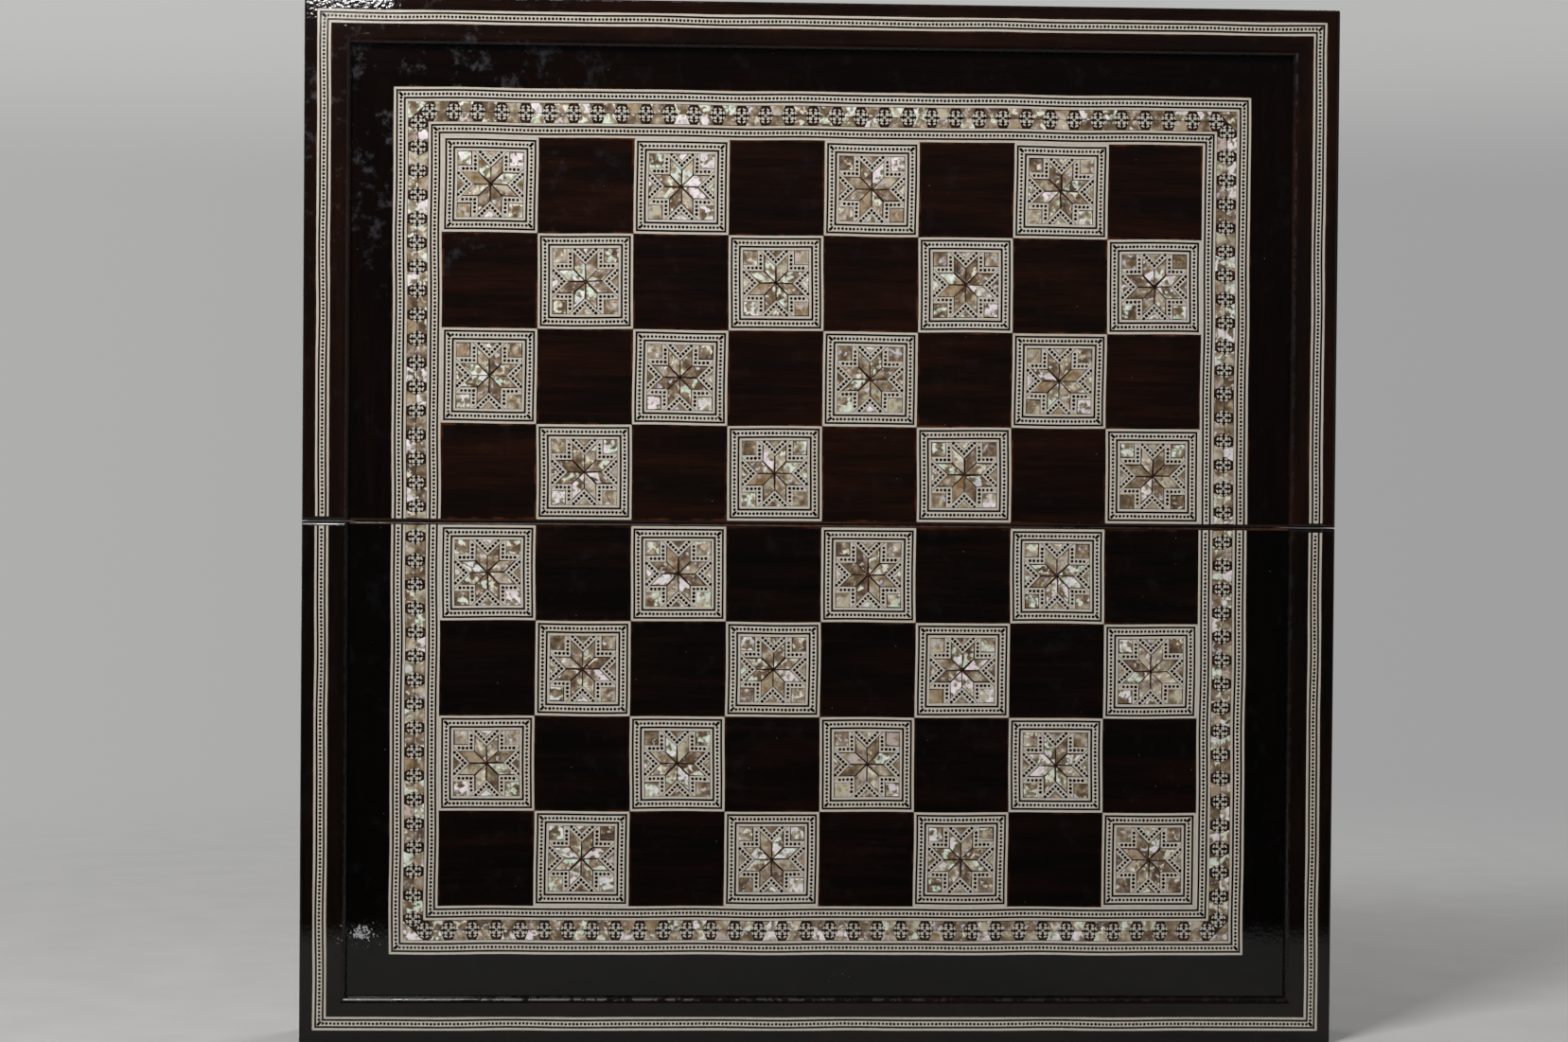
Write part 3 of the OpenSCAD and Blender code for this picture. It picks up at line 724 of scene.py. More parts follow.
def stained(n, edge, along, lighter, contrast, reach):
    """Black-brown stained wood under lacquer. The upper half is browner and lighter, with stronger
    streaks and more rub-through: painted light for how the two halves catch the light.

    edge is the distance from the inlay. Within reach of it, in millimetres, the stain was
    scraped thin and is red-brown. On top come specks of dust, grey smears near the upper
    left corner, which are smudges with a painted reflection of the lamps there, and a worn
    spot at the lower left.
    """
    hue = colours()
    split = n.add("SeparateXYZ", n.place).node.outputs
    # Upper half: a lighter, browner stain with stronger streaks and rub-through, painted light for
    # how the two halves catch the light
    upper = n.add("Math", split["Z"], SEAM_Z, operation="GREATER_THAN")
    dark = n.add(
        "Mix",
        {0: upper, 6: Vector(hue.lower_stain) * lighter, 7: Vector(hue.upper_stain) * lighter},
        data_type="RGBA",
        output=2,
    )
    strength = n.add("MapRange", upper, 0.0, 1.0, contrast * 0.4, contrast)
    colour = grain(n, along, 6, 0.7, dark, hue.streak, strength)
    near = n.add("MapRange", edge, 0.0, reach * MM, 1.0, 0.0, interpolation_type="SMOOTHSTEP")
    thin = n.add(
        "MapRange",
        n.add(
            "TexNoise", {"Vector": n.place, "Scale": 1 / (11 * MM), "Detail": 3.0, "Roughness": 0.7}
        ),
        0.46,
        0.7,
        0.02,
        1.0,
    )
    thin = n.add("Math", thin, n.add("MapRange", upper, 0.0, 1.0, 0.45, 1.0), operation="MULTIPLY")
    colour = n.add(
        "Mix",
        {0: n.add("Math", near, thin, operation="MULTIPLY"), 6: colour, 7: hue.rubbed},
        data_type="RGBA",
        output=2,
    )
    cells = n.add("TexVoronoi", {"Vector": n.place, "Scale": 1 / (8 * MM)}).node.outputs
    chosen = n.add(
        "Math", n.add("Math", cells["Color"], operation="FRACT"), 0.6, operation="GREATER_THAN"
    )
    speck = n.add(
        "Math",
        n.add("Math", cells["Distance"], 0.028, operation="LESS_THAN"),
        chosen,
        operation="MULTIPLY",
    )
    colour = n.add(
        "Mix",
        {0: n.add("Math", speck, 0.5, operation="MULTIPLY"), 6: colour, 7: hue.dust},
        data_type="RGBA",
        output=2,
    )
    # Grey smears near the upper left, on the front faces only: smudges with a painted reflection of
    # the lamps there, painted into the colour
    away = n.add("VectorMath", n.place, SMEAR_REFLECTIONS, operation="DISTANCE", output="Value")
    smear = n.add(
        "MapRange",
        n.add(
            "TexNoise",
            {"Vector": n.place, "Scale": 1 / (11 * MM), "Detail": 5.0, "Roughness": 0.72},
        ),
        0.53,
        0.72,
        interpolation_type="SMOOTHSTEP",
    )
    smear = n.add(
        "Math",
        smear,
        n.add("MapRange", away, 30 * MM, 120 * MM, 0.5, 0.03, interpolation_type="SMOOTHSTEP"),
        operation="MULTIPLY",
    )
    smear = n.add(
        "Math",
        smear,
        n.add(
            "MapRange", split["Y"], -16 * MM, -14 * MM, 1.0, 0.0, interpolation_type="SMOOTHSTEP"
        ),
        operation="MULTIPLY",
    )
    colour = n.add("Mix", {0: smear, 6: colour, 7: hue.smear}, data_type="RGBA", output=2)
    away = n.add(
        "VectorMath",
        n.add("VectorMath", n.place, SPOT_SHAPE, operation="MULTIPLY"),
        SPOT * SPOT_SHAPE,
        operation="DISTANCE",
        output="Value",
    )
    away = n.add(
        "Math",
        away,
        n.add(
            "Math",
            n.add("TexNoise", {"Vector": n.place, "Scale": 1 / (7 * MM), "Detail": 3.0}),
            10 * MM,
            operation="MULTIPLY",
        ),
        operation="ADD",
    )
    dense = n.add("MapRange", away, 7.5 * MM, 14 * MM, 0.17, -0.06, interpolation_type="SMOOTHSTEP")
    spots = n.add(
        "MapRange",
        n.add(
            "Math",
            n.add("TexNoise", {"Vector": n.place, "Scale": 1 / (1.1 * MM)}),
            dense,
            operation="ADD",
        ),
        0.58,
        0.74,
        0.0,
        0.95,
        interpolation_type="SMOOTHSTEP",
    )
    spots = n.add(
        "Math",
        spots,
        n.add("MapRange", away, 17 * MM, 19 * MM, 1.0, 0.0, interpolation_type="SMOOTHSTEP"),
        operation="MULTIPLY",
    )
    return n.lacquer(
        n.add("Mix", {0: spots, 6: colour, 7: hue.worn}, data_type="RGBA", output=2),
        0.03,
        1.8,
        0.016,
    )


def stained_walnut(n):
    """Walnut rails: near black, with red-brown streaks that follow each rail."""
    # The rails' stain is lighter than the margin's (1.1 against 0.45): partly their own wood,
    # partly a painted reflection of the brighter surroundings in their rounded lacquer
    x, z, strip = -RIM[0].x, SEAM_Z - RIM[0].z, sizes().rim_strip
    edges = (outline_distance(n, x - step, z - step) for step in (0, strip))
    return stained(n, n.add("Math", *edges, operation="MINIMUM"), round_the_case(n), 1.1, 0.6, 0.8)


def margin_veneer(n):
    """Veneer of the margin: the blackest wood of the board."""
    edge = outline_distance(n, -BORDER[0].x, SEAM_Z - BORDER[0].z)
    return stained(n, edge, round_the_case(n), 0.45, 0.12, 0.8)


def square_veneer(n):
    """Veneer squares: each with its own grain, black-brown with red-brown edges."""
    cell = n.add(
        "VectorMath",
        n.add("VectorMath", n.place, (SQUARE_W, 1.0, SQUARE_H), operation="DIVIDE"),
        operation="FLOOR",
    )
    chance = n.add("TexWhiteNoise", {"Vector": cell}, noise_dimensions="3D", output="Color")
    up = n.add("Math", from_seam(n)[1], SEAM_Z - SQUARES[1].z - JOINT / 2, operation="SUBTRACT")
    steps = (n.add("SeparateXYZ", n.place, output="X"), SQUARE_W), (up, SQUARE_H)
    edges = (n.add("Math", value, side / 2, operation="PINGPONG") for value, side in steps)
    along = n.add("VectorMath", n.place, chance, operation="ADD")
    return stained(n, n.add("Math", *edges, operation="MINIMUM"), along, 0.9, 0.7, 1.3)


def inner_walnut(n):
    """Walnut boards and rails inside the box, brown and less glossy."""
    return n.lacquer(grain(n, n.place, 7, 0.8, "#20120b", "#4a2a19", 0.9), 0.25)


def polished_bone(n):
    """Bone sawn thin and polished: warm white, a little yellower or greyer from bar to bar."""
    hue = colours()
    fibres = n.add(
        "Math",
        n.add(
            "Math",
            n.add("Attribute", attribute_name="tone", output="Fac"),
            0.25,
            operation="MULTIPLY",
        ),
        n.add(
            "TexNoise",
            {"Vector": n.place, "Scale": 1 / (2.2 * MM), "Detail": 4.0, "Roughness": 0.65},
        ),
        operation="ADD",
    )
    aged = n.add("MapRange", fibres, 0.45, 0.95, 0.0, 0.75, interpolation_type="SMOOTHSTEP")
    return n.lacquer(
        n.add("Mix", {0: aged, 6: hue.bone, 7: hue.aged_bone}, data_type="RGBA", output=2),
        0.14,
        2.4,
        0.006,
    )


def polished_ebony(n):
    """Ebony lines and pegs: black with a trace of brown."""
    colour = n.add(
        "ValToRGB",
        n.add("TexNoise", {"Vector": n.place, "Scale": 1 / (1.4 * MM)}),
        stops=[(0.35, "#080605"), (0.75, "#1c120d")],
    )
    return n.lacquer(colour, 0.14, 2.4, 0.006)


def dark_mastic(n):
    """The filling between the pieces: glue and wood dust, dark with red-brown patches."""
    stops = [(0.36, "#1a0f0a"), (0.52, "#301b12"), (0.7, "#4f2f20")]
    return n.lacquer(
        n.add(
            "ValToRGB",
            n.add(
                "TexNoise",
                {"Vector": n.place, "Scale": 1 / (2.6 * MM), "Detail": 3.0, "Roughness": 0.65},
            ),
            stops=stops,
        ),
        0.2,
        2.0,
        0.01,
    )


def pearl_shell(n):
    """Mother-of-pearl: greige layers that run from umber to white in each piece, with a breath of
    pink, green, gold or lilac. Each piece has its own shade, colours and lean. Its lit patches
    are painted glints of the lamps in white and tints, as well as the shell's own bright layers."""
    hue = colours()
    tone = n.add("Attribute", attribute_name="tone", output="Fac")
    shade, chance = (
        n.add("Math", n.add("Math", tone, factor, operation="MULTIPLY"), operation="FRACT")
        for factor in (7.3, 31.7)
    )
    own = n.add(
        "VectorMath",
        n.place,
        n.add("VectorMath", {0: (0.37, 0.11, 0.53), "Scale": tone}, operation="SCALE"),
        operation="ADD",
    )
    drift = n.add(
        "VectorMath",
        {
            0: n.add("TexNoise", {"Vector": own, "Scale": 1 / (5 * MM)}, output="Color"),
            "Scale": 4 * MM,
        },
        operation="SCALE",
    )
    bent = n.add("VectorMath", own, drift, operation="ADD")
    layer = n.add(
        "Math",
        n.add("TexNoise", {"Vector": bent, "Scale": 1 / (4.2 * MM)}),
        1.5,
        operation="MULTIPLY",
    )
    layer = n.add(
        "Math",
        layer,
        n.add(
            "Math",
            n.add("TexNoise", {"Vector": bent, "Scale": 1 / (1.5 * MM)}),
            0.45,
            operation="MULTIPLY",
        ),
        operation="ADD",
    )
    layer = n.add("Math", layer, n.add("Math", shade, 0.4, operation="MULTIPLY"), operation="ADD")
    layers = [(0.0, hue.shell), (0.3, hue.umber), (0.6, hue.pearl), (1.0, hue.pale)]
    body = n.add("ValToRGB", n.add("MapRange", layer, 0.76, 1.46), stops=layers)
    tints = [(0.0, "#ffd6e4"), (0.2, "#ffffff"), (0.36, "#ffe9ee"), (0.48, "#ffffff")]
    tints += [(0.6, "#dcf5d6"), (0.7, "#fffdf2"), (0.84, "#fbeecb"), (1.0, "#dfe2ff")]
    own_hue = n.add(
        "Math",
        n.add(
            "Math",
            n.add("TexNoise", {"Vector": bent, "Scale": 1 / (3 * MM), "Detail": 1.0}),
            1.2,
            operation="MULTIPLY",
        ),
        chance,
        operation="ADD",
    )
    tint_and_glint = n.add("ValToRGB", n.add("Math", own_hue, 1.0, operation="PINGPONG"), stops=tints)
    # Lit patches in near-white tints: painted glints of the lamps, as well as the shell's own
    # bright layers. Their normals lean further too.
    lit = n.add(
        "MapRange",
        n.add(
            "Math",
            n.add("TexNoise", {"Vector": bent, "Scale": 1 / (3 * MM)}),
            n.add("Math", chance, 0.2, operation="MULTIPLY"),
            operation="ADD",
        ),
        0.61,
        0.75,
        interpolation_type="SMOOTHSTEP",
    )
    shown = n.add(
        "Mix",
        {
            0: lit,
            6: n.add(
                "Mix",
                {0: 0.5, 6: body, 7: tint_and_glint},
                data_type="RGBA",
                blend_type="MULTIPLY",
                output=2,
            ),
            7: tint_and_glint,
        },
        data_type="RGBA",
        output=2,
    )
    amber = n.add(
        "Math", n.add("Math", shade, 0.94, operation="GREATER_THAN"), 0.5, operation="MULTIPLY"
    )
    lean = n.add(
        "VectorMath",
        n.add("TexNoise", {"Vector": bent, "Scale": 1 / (3 * MM), "Detail": 1.0}, output="Color"),
        (0.5, 0.5, 0.5),
        operation="SUBTRACT",
    )
    lean = n.add(
        "VectorMath",
        {0: lean, "Scale": n.add("MapRange", lit, 0.0, 1.0, 0.4, 1.4)},
        operation="SCALE",
    )
    tilted = n.add(
        "VectorMath",
        n.add("VectorMath", n.add("NewGeometry", output="Normal"), lean, operation="ADD"),
        operation="NORMALIZE",
    )
    others = {"Normal": tilted, "Specular IOR Level": 0.6}
    return n.shade(
        n.add("Mix", {0: amber, 6: shown, 7: hue.amber}, data_type="RGBA", output=2), 0.24, others
    )


def floor_wood(name, dark, light, figure, pores):
    """Oiled veneer of the playing side: open grain and a soft sheen."""
    n = Look(name)
    return n.lacquer(grain(n, n.place, figure, pores, dark, light, 1.0), 0.3)


def aged_brass(n):
    """Filed brass: warm yellow, brushed along its length, browner and duller in patches."""
    patches = n.add(
        "TexNoise", {"Vector": n.place, "Scale": 1 / (5 * MM), "Detail": 4.0, "Roughness": 0.6}
    )
    colour = n.add("ValToRGB", patches, stops=[(0.35, "#8f6d33"), (0.6, "#d1ab5e")])
    brushed = n.add(
        "Bump",
        {
            "Height": n.add(
                "TexNoise",
                {
                    "Vector": n.add("Mapping", {"Vector": n.place, "Scale": (0.05, 1.0, 1.0)}),
                    "Scale": 1 / (0.25 * MM),
                },
            ),
            "Distance": 0.01 * MM,
        },
    )
    gloss = n.add("MapRange", patches, 0.3, 0.7, 0.42, 0.24)
    return n.shade(colour, gloss, {"Normal": brushed, "Metallic": 1.0})


def dress(nodes, material):
    """Gives CAD nodes a material."""
    for node in nodes:
        for slot in NODES[node].material_slots:
            slot.material = material


def both(*names):
    return [half + "_" + name for half in HALVES for name in names]


# The operators, one for each group of pieces


class BOARD_OT_wood(bpy.types.Operator):
    """Gives the case, the margin and the dark squares their stained and lacquered wood"""

    bl_idname = "board.wood"
    bl_label = "Lacquered wood"

    def execute(self, context):
        dress(both("front_rail", "left_rail", "right_rail"), finish(stained_walnut))
        dress(both("hinge_rail", "panel"), finish(inner_walnut))
        dress(both("margin_veneer"), finish(margin_veneer))
        dress(both("dark_squares"), finish(square_veneer))
        return {"FINISHED"}


class BOARD_OT_dotted_strips(bpy.types.Operator):
    """Makes the dotted strips in the rim and on both sides of the pearl band"""

    bl_idname = "board.dotted_strips"
    bl_label = "Dotted strips"

    def make(self, name, face, strips, top, width, seed):
        """Strips round a half: bone bars and ebony lines by turns, and a row of pegs."""
        inlay = sizes()
        dotted = width - 2 * (inlay.bone_line + inlay.ebony_line)
        rod = make_peg(face, inlay.peg)
        bone, ebony, pegs = [], [], []
        for inset, bottom in strips:
            step = 0.0
            for number, part in enumerate(strip_widths(dotted)):
                bars = open_bars(inset + step, bottom + step, top, part, face + inlay.polish)
                (ebony if number % 2 else bone).extend(bars)
                step += part
            x, z = CASE_X - inset - width / 2, bottom + width / 2
            runs = ((x, z), (x, top)), ((x, z), (-x, z)), ((-x, z), (-x, top))
            pegs += [peg_row(rod, start, end) for start, end in runs]
            for side in (1, -1):
                pegs += corner_smudge(rod, (side * x, z), (side, -1))
        discard(rod)
        white, black = finish(polished_bone), finish(polished_ebony)
        lay(bone, name + "_bars", name + "_bone", white, "bone", seed, bend=8)
        lay(ebony, name + "_lines", name + "_ebony", black, "ebony", seed + 10, bend=8)
        lay(pegs, name + "_pegs", None, black, "ebony", seed + 20, (0.07, 0, 0.08))

    def execute(self, context):
        rim = [(CASE_X + RIM[0].x, RIM[0].z)]
        self.make("rim", RIM[0].y, rim, RIM[1].z, sizes().rim_strip, 100)
        band = STRIP_W + BAND_W
        outer, bottom = CASE_X + BORDER[0].x, BORDER[0].z
        strips = [(outer, bottom), (outer + band, bottom + band)]
        self.make("border", field_faces()[0], strips, BORDER[1].z, STRIP_W, 200)
        return {"FINISHED"}


class BOARD_OT_star_tiles(bpy.types.Operator):
    """Makes one star tile and lays it on every second square"""

    bl_idname = "board.star_tiles"
    bl_label = "Star tiles"

    def execute(self, context):
        inlay, tile = sizes(), context.scene.board_tile
        face, self.low, filling = field_faces()
        self.rod, self.stud = make_peg(face, inlay.peg), make_peg(face, tile.peg)
        x, z = (SQUARE_W - JOINT) / 2, (SQUARE_H - JOINT) / 2
        ground = [saw(corners_of(x, z), filling, GROUNDS[1].y - filling)]
        bone, ebony, pegs = [], [], []
        for number, part in enumerate(strip_widths(tile.dots)):
            if number == 2:
                pegs += self.frame_pegs(x - part / 2, z - part / 2)
            (ebony if number % 2 else bone).extend(ring_bars(x, z, part, self.low))
            x, z = x - part, z - part
        strips, squares, triangles = [], [], []
        for turn, flips in enumerate(((1, 1), (-1, 1), (-1, -1), (1, -1))):
            spot, side = turned(turn * QUARTER), (x, z)[turn % 2]
            strips += self.chevron_arms(spot, side, tile)
            triangles.append(self.triangle(spot, side, tile))
            pegs += self.chevron_pegs(spot, side, tile)
            spot = self.corner_spot(flips, (x, z))
            strips += self.corner_arms(spot, (x, z), tile)
            pegs += self.corner_pegs(spot, tile)
            squares.append(self.corner_pearl(spot, tile))
        stars = self.star((x, z), tile)
        discard(self.rod, self.stud)
        white, black = (finish(polished_bone), "bone"), (finish(polished_ebony), "ebony")
        shell = finish(pearl_shell), "mother_of_pearl"
        self.tiles(ground, "tile_mastic", "tile_grounds", finish(dark_mastic), "rosewood", 300)
        self.tiles(bone, "tile_frames", "tile_bone", *white, 310, bend=7)
        self.tiles(ebony, "tile_lines", "tile_ebony", *black, 320, bend=7)
        self.tiles(strips, "tile_zigzags", "tile_strips", *white, 330, (0.05, 0.006, 0))
        self.tiles(pegs, "tile_pegs", None, *black, 340, (0.07, 0, 0.1))
        self.tiles(stars, "tile_stars", "star_pearl", *shell, 350, (0.1, 0.04, 0.04), 0.16)
        self.tiles(squares, "tile_corners", "corner_pearl", *shell, 360, (0.15, 0.04, 0.06), 0.16)
        self.tiles(triangles, "tile_triangles", None, *shell, 370, (0.05, 0.02, 0.03), 0.16)
        return {"FINISHED"}

    def tiles(self, pieces, name, *laying, **habits):
        """Copies the pieces of one tile to every second square and lays them."""
        one = join(pieces, name)
        copies = []
        for row in range(ROWS):
            z = SQUARES[0].z - JOINT / 2 + (row + 0.5) * SQUARE_H
            for column in range(1 - row % 2, COLUMNS, 2):
                copies.append(copy_of(one, ((column - (COLUMNS - 1) / 2) * SQUARE_W, z)))
        discard(one)
        lay(copies, name, *laying, **habits)

    def sawn(self, spot, outline):
        """A piece of bone or pearl, whose outline a function puts in its place."""
        return saw([spot(*point) for point in outline], self.low)

    def frame_pegs(self, x, z):
        """Pegs round the dotted frame, with a dark diagonal in each corner."""
        corners = corners_of(x, z)
        pegs = []
        for start, end in zip(corners, corners[1:] + corners[:1]):
            pegs.append(peg_row(self.rod, start, end))
            pegs += corner_smudge(self.rod, start, (start[0] / x, start[1] / z))
        return pegs

    def chevron_arms(self, spot, side, tile):
        """The two mitred arms of a chevron that points from one side to the middle."""
        tip, gap, end = side - tile.chevron, sizes().kerf / 4, side - sizes().kerf
        back = tip + tile.strip * ROOT
        outline = [(tip + gap, gap), (back + gap, gap), (end, end - back), (end, end - tip)]
        return [self.sawn(spot, [(x, z * lead) for x, z in outline]) for lead in (-1, 1)]

    def chevron_pegs(self, spot, side, tile):
        """One peg at the tip of a chevron and four along each arm."""
        line = side - tile.chevron + tile.strip / ROOT
        step = tile.chevron_pitch / ROOT
        return [copy_of(self.stud, spot(line + abs(k) * step, k * step)) for k in range(-4, 5)]

    def triangle(self, spot, side, tile):
        """The small pearl triangle behind a chevron."""
        end = side - sizes().kerf
        tip = side - tile.chevron + (tile.strip + sizes().kerf) * ROOT
        return self.sawn(spot, [(tip, 0), (end, tip - end), (end, end - tip)])

    def corner_spot(self, flips, room):
        """A function that places a point by its distances from both sides of a corner."""
        return lambda x, z: (flips[0] * (room[0] - x), flips[1] * (room[1] - z))

    def corner_arms(self, spot, room, tile):
        """The two mitred arms of the dotted strip round a corner pearl."""
        kerf, inner = sizes().kerf, tile.pocket
        outer, gap = inner + tile.strip, kerf / 4
        arms = []
        for swap in (1, -1):
            slant = room[::-swap][0] - tile.chevron - kerf * ROOT
            outline = [(kerf, inner), (inner - gap, inner), (outer - gap, outer)]
            outline += [(outer - slant, outer), (kerf, slant + kerf)]
            arms.append(self.sawn(spot, [point[::swap] for point in outline]))
        return arms

    def corner_pegs(self, spot, tile):
        """One peg at the bend of a corner strip and three along each arm."""
        line = tile.pocket + tile.strip / 2
        steps = [(line - k * tile.corner_pitch, line) for k in range(4)]
        steps += [step[::-1] for step in steps[1:]]
        return [copy_of(self.stud, spot(*step)) for step in steps]

    def corner_pearl(self, spot, tile):
        """The pearl square in the corner of the tile, a little smaller than its pocket."""
        near, far = (tile.pocket - tile.corner) / 2, (tile.pocket + tile.corner) / 2
        return self.sawn(spot, [(near, near), (far, near), (far, far), (near, far)])

    def star(self, room, tile):
        """Eight pearl lozenges that meet in the middle of the tile."""
        outer = tile.pocket + tile.strip
        notch = min(min(room) - tile.chevron, math.hypot(room[0] - outer, room[1] - outer))
        side = notch - tile.star_gap
        out, across = side * math.cos(EIGHTH), side * math.sin(EIGHTH)
        start = tile.star_line / 2 / math.sin(EIGHTH)
        outline = [(start, 0), (start + out, across), (start + 2 * out, 0), (start + out, -across)]
        return [self.sawn(turned((2 * number + 1) * EIGHTH), outline) for number in range(8)]


class BOARD_OT_pearl_band(bpy.types.Operator):
    """Makes the pearl band round the field, with its rosettes and paired pearls"""

    bl_idname = "board.pearl_band"
    bl_label = "Pearl band"

    def execute(self, context):
        band = self.band = context.scene.board_band
        self.low, filling = field_faces()[1:]
        inset, bottom, top = CASE_X + BAND[0].x, BAND[0].z, BAND[1].z
        side_x, low_z = CASE_X - inset - BAND_W / 2, bottom + BAND_W / 2
        first_x, first_z = CASE_X - inset - band.corner, bottom + band.corner
        count_w = round(2 * first_x / band.pitch)
        count_h = round((top - first_z) / band.pitch - 0.5)
        pitch_w, pitch_h = 2 * first_x / count_w, (top - first_z) / (count_h + 0.5)
        plate, flower = self.plate(), self.flower()
        row_pair, end_pair = self.pair(pitch_w), self.pair(pitch_h)
        last_pair = self.pair(pitch_h, True)
        # Each run has a function that places a point by its way along the run
        runs = [(lambda way: (way - first_x, low_z), 0, count_w, pitch_w, row_pair, [])]
        for x in (-side_x, side_x):
            side = lambda way, x=x: (x, first_z + way)
            runs.append((side, 1, count_h, pitch_h, end_pair, last_pair))
        plates, petals, pearls = [], [], []
        for spot, quarters, count, pitch, pair, last in runs:
            for number in range(count + 1):
                plates.append(copy_of(plate, spot(number * pitch), quarters))
                petals.append(copy_of(flower, spot(number * pitch), quarters))
                for pearl in pair if number < count else last:
                    pearls.append(copy_of(pearl, spot((number + 0.5) * pitch), quarters))
        discard(plate, flower, *row_pair, *end_pair, *last_pair)
        # Pearl triangles in the outer corners end 0.9 mm short of the middle of a rosette
        near, leg = sizes().kerf, band.corner - 0.9 * MM
        for side in (-1, 1):
            triangle = [(near, near), (leg, near), (near, leg)]
            outline = [(side * (CASE_X - inset - x), bottom + z) for x, z in triangle]
            pearls.append(saw(outline, self.low))
        ground = open_bars(inset, bottom, top, BAND_W, filling, BAND[1].y - filling)
        bone, ebony, shell = finish(polished_bone), finish(polished_ebony), finish(pearl_shell)
        lay(ground, "band_mastic", "band_ground", finish(dark_mastic), "rosewood", 400, bend=8)
        lay(plates, "band_rosettes", "rosettes", ebony, "rosette_inlay", 410)
        lay(petals, "band_petals", None, bone, "bone", 420, (0.05, 0.06, 0.1))
        seed, loose = 430 + band.seed, (0.08, 0.03, 0.02)
        lay(pearls, "band_pearls", "band_pearl", shell, "mother_of_pearl", seed, loose, 0.14)
        return {"FINISHED"}

    def plate(self):
        """The ebony ground of a rosette, an octagon just below its bone."""
        reach = self.band.rosette / 2
        corners = [turned(number * 2 * EIGHTH)(reach, 0) for number in range(8)]
        return saw(corners, self.low + 0.02 * MM)

    def flower(self):
        """The bone of a rosette: a thin cross, four kites on it and eight lobes round them.

        The outlines are given in parts of the half width of the rosette.
        """
        reach = self.band.rosette / 2
        cross = [(-0.36, -0.075), (0.36, -0.075), (0.36, 0.075), (-0.36, 0.075)]
        kite = [(0.22, 0), (0.46, -0.27), (0.69, -0.15), (0.69, 0.15), (0.46, 0.27)]
        lobe = [(0.72, -0.14), (0.94, -0.26), (0.94, 0.26), (0.72, 0.14)]
        pieces = []
        for count, step, shape in ((2, 2, cross), (4, 2, kite), (8, 1, lobe)):
            for number in range(count):
                spot = turned((2 * number + 1) * step * EIGHTH)
                pieces.append(saw([spot(x * reach, z * reach) for x, z in shape], self.low))
        return join(pieces, "flower")

    def pair(self, pitch, last=False):
        """Two pearls that meet at their narrow sides between two rosettes, drawn along X.

        The last pair before the seam is cut through the middle.
        """
        kerf = sizes().kerf
        waist, reach = (pitch - self.band.rosette) / 2 - kerf, BAND_W / 2 - kerf
        lean = reach * math.tan(EIGHTH)
        ends = (-1, 0) if last else (-1, 1)
        pearls = []
        for side in (-1, 1):
            short = [(end * waist - last * kerf, side * kerf / 2) for end in ends]
            long = [(end * (waist + lean) - last * kerf, side * reach) for end in ends[::-1]]
            pearls.append(saw(short + long, self.low))
        return pearls


class BOARD_OT_playing_floor(bpy.types.Operator):
    """Gives the playing floor, its points and the mouth strips their finishes"""

    bl_idname = "board.playing_floor"
    bl_label = "Playing floor"

    def execute(self, context):
        hue = colours()
        dress(both("floor_veneer"), floor_wood("oiled_rosewood", "#32180e", hue.rosewood, 5, 0.8))
        dress(both("light_points"), floor_wood("pale_maple", "#b48c55", hue.maple, 6, 0.9))
        dress(both("dark_points"), floor_wood("ebony_veneer", "#0d0a08", "#2b1c14", 4, 0.7))
        dress(both("floor_border", "mouth_strip"), finish(polished_bone))
        return {"FINISHED"}


class BOARD_OT_hardware(bpy.types.Operator):
    """Gives the hinges, screws, hooks and studs their brass"""

    bl_idname = "board.hardware"
    bl_label = "Brass hardware"

    def execute(self, context):
        single = ["hinge_pins", "latch_studs", "latch_pivots", "left_hook", "right_hook"]
        dress(both("hinge_leaves", "hinge_screws") + single, finish(aged_brass))
        return {"FINISHED"}


# The stage


class StageSettings(bpy.types.PropertyGroup):
    """The camera and the table"""

    place: FloatVectorProperty(
        name="Place",
        description="Place of the camera, measured from the middle of the seam",
        default=(-81.4 * MM, -1493 * MM, 24.7 * MM),
        unit="LENGTH",
    )
    turn: FloatVectorProperty(
        name="Turn",
        description="How far the camera looks down, rolls and looks to the right",
        default=tuple(math.radians(angle) for angle in (0.9, -0.46, 2.446)),
        subtype="EULER",
    )
    lens: FloatProperty(name="Lens", description="Focal length in millimetres", default=70)
    table_edge: length("Table edge", "Front edge of the table, which the lacquer mirrors", 320)


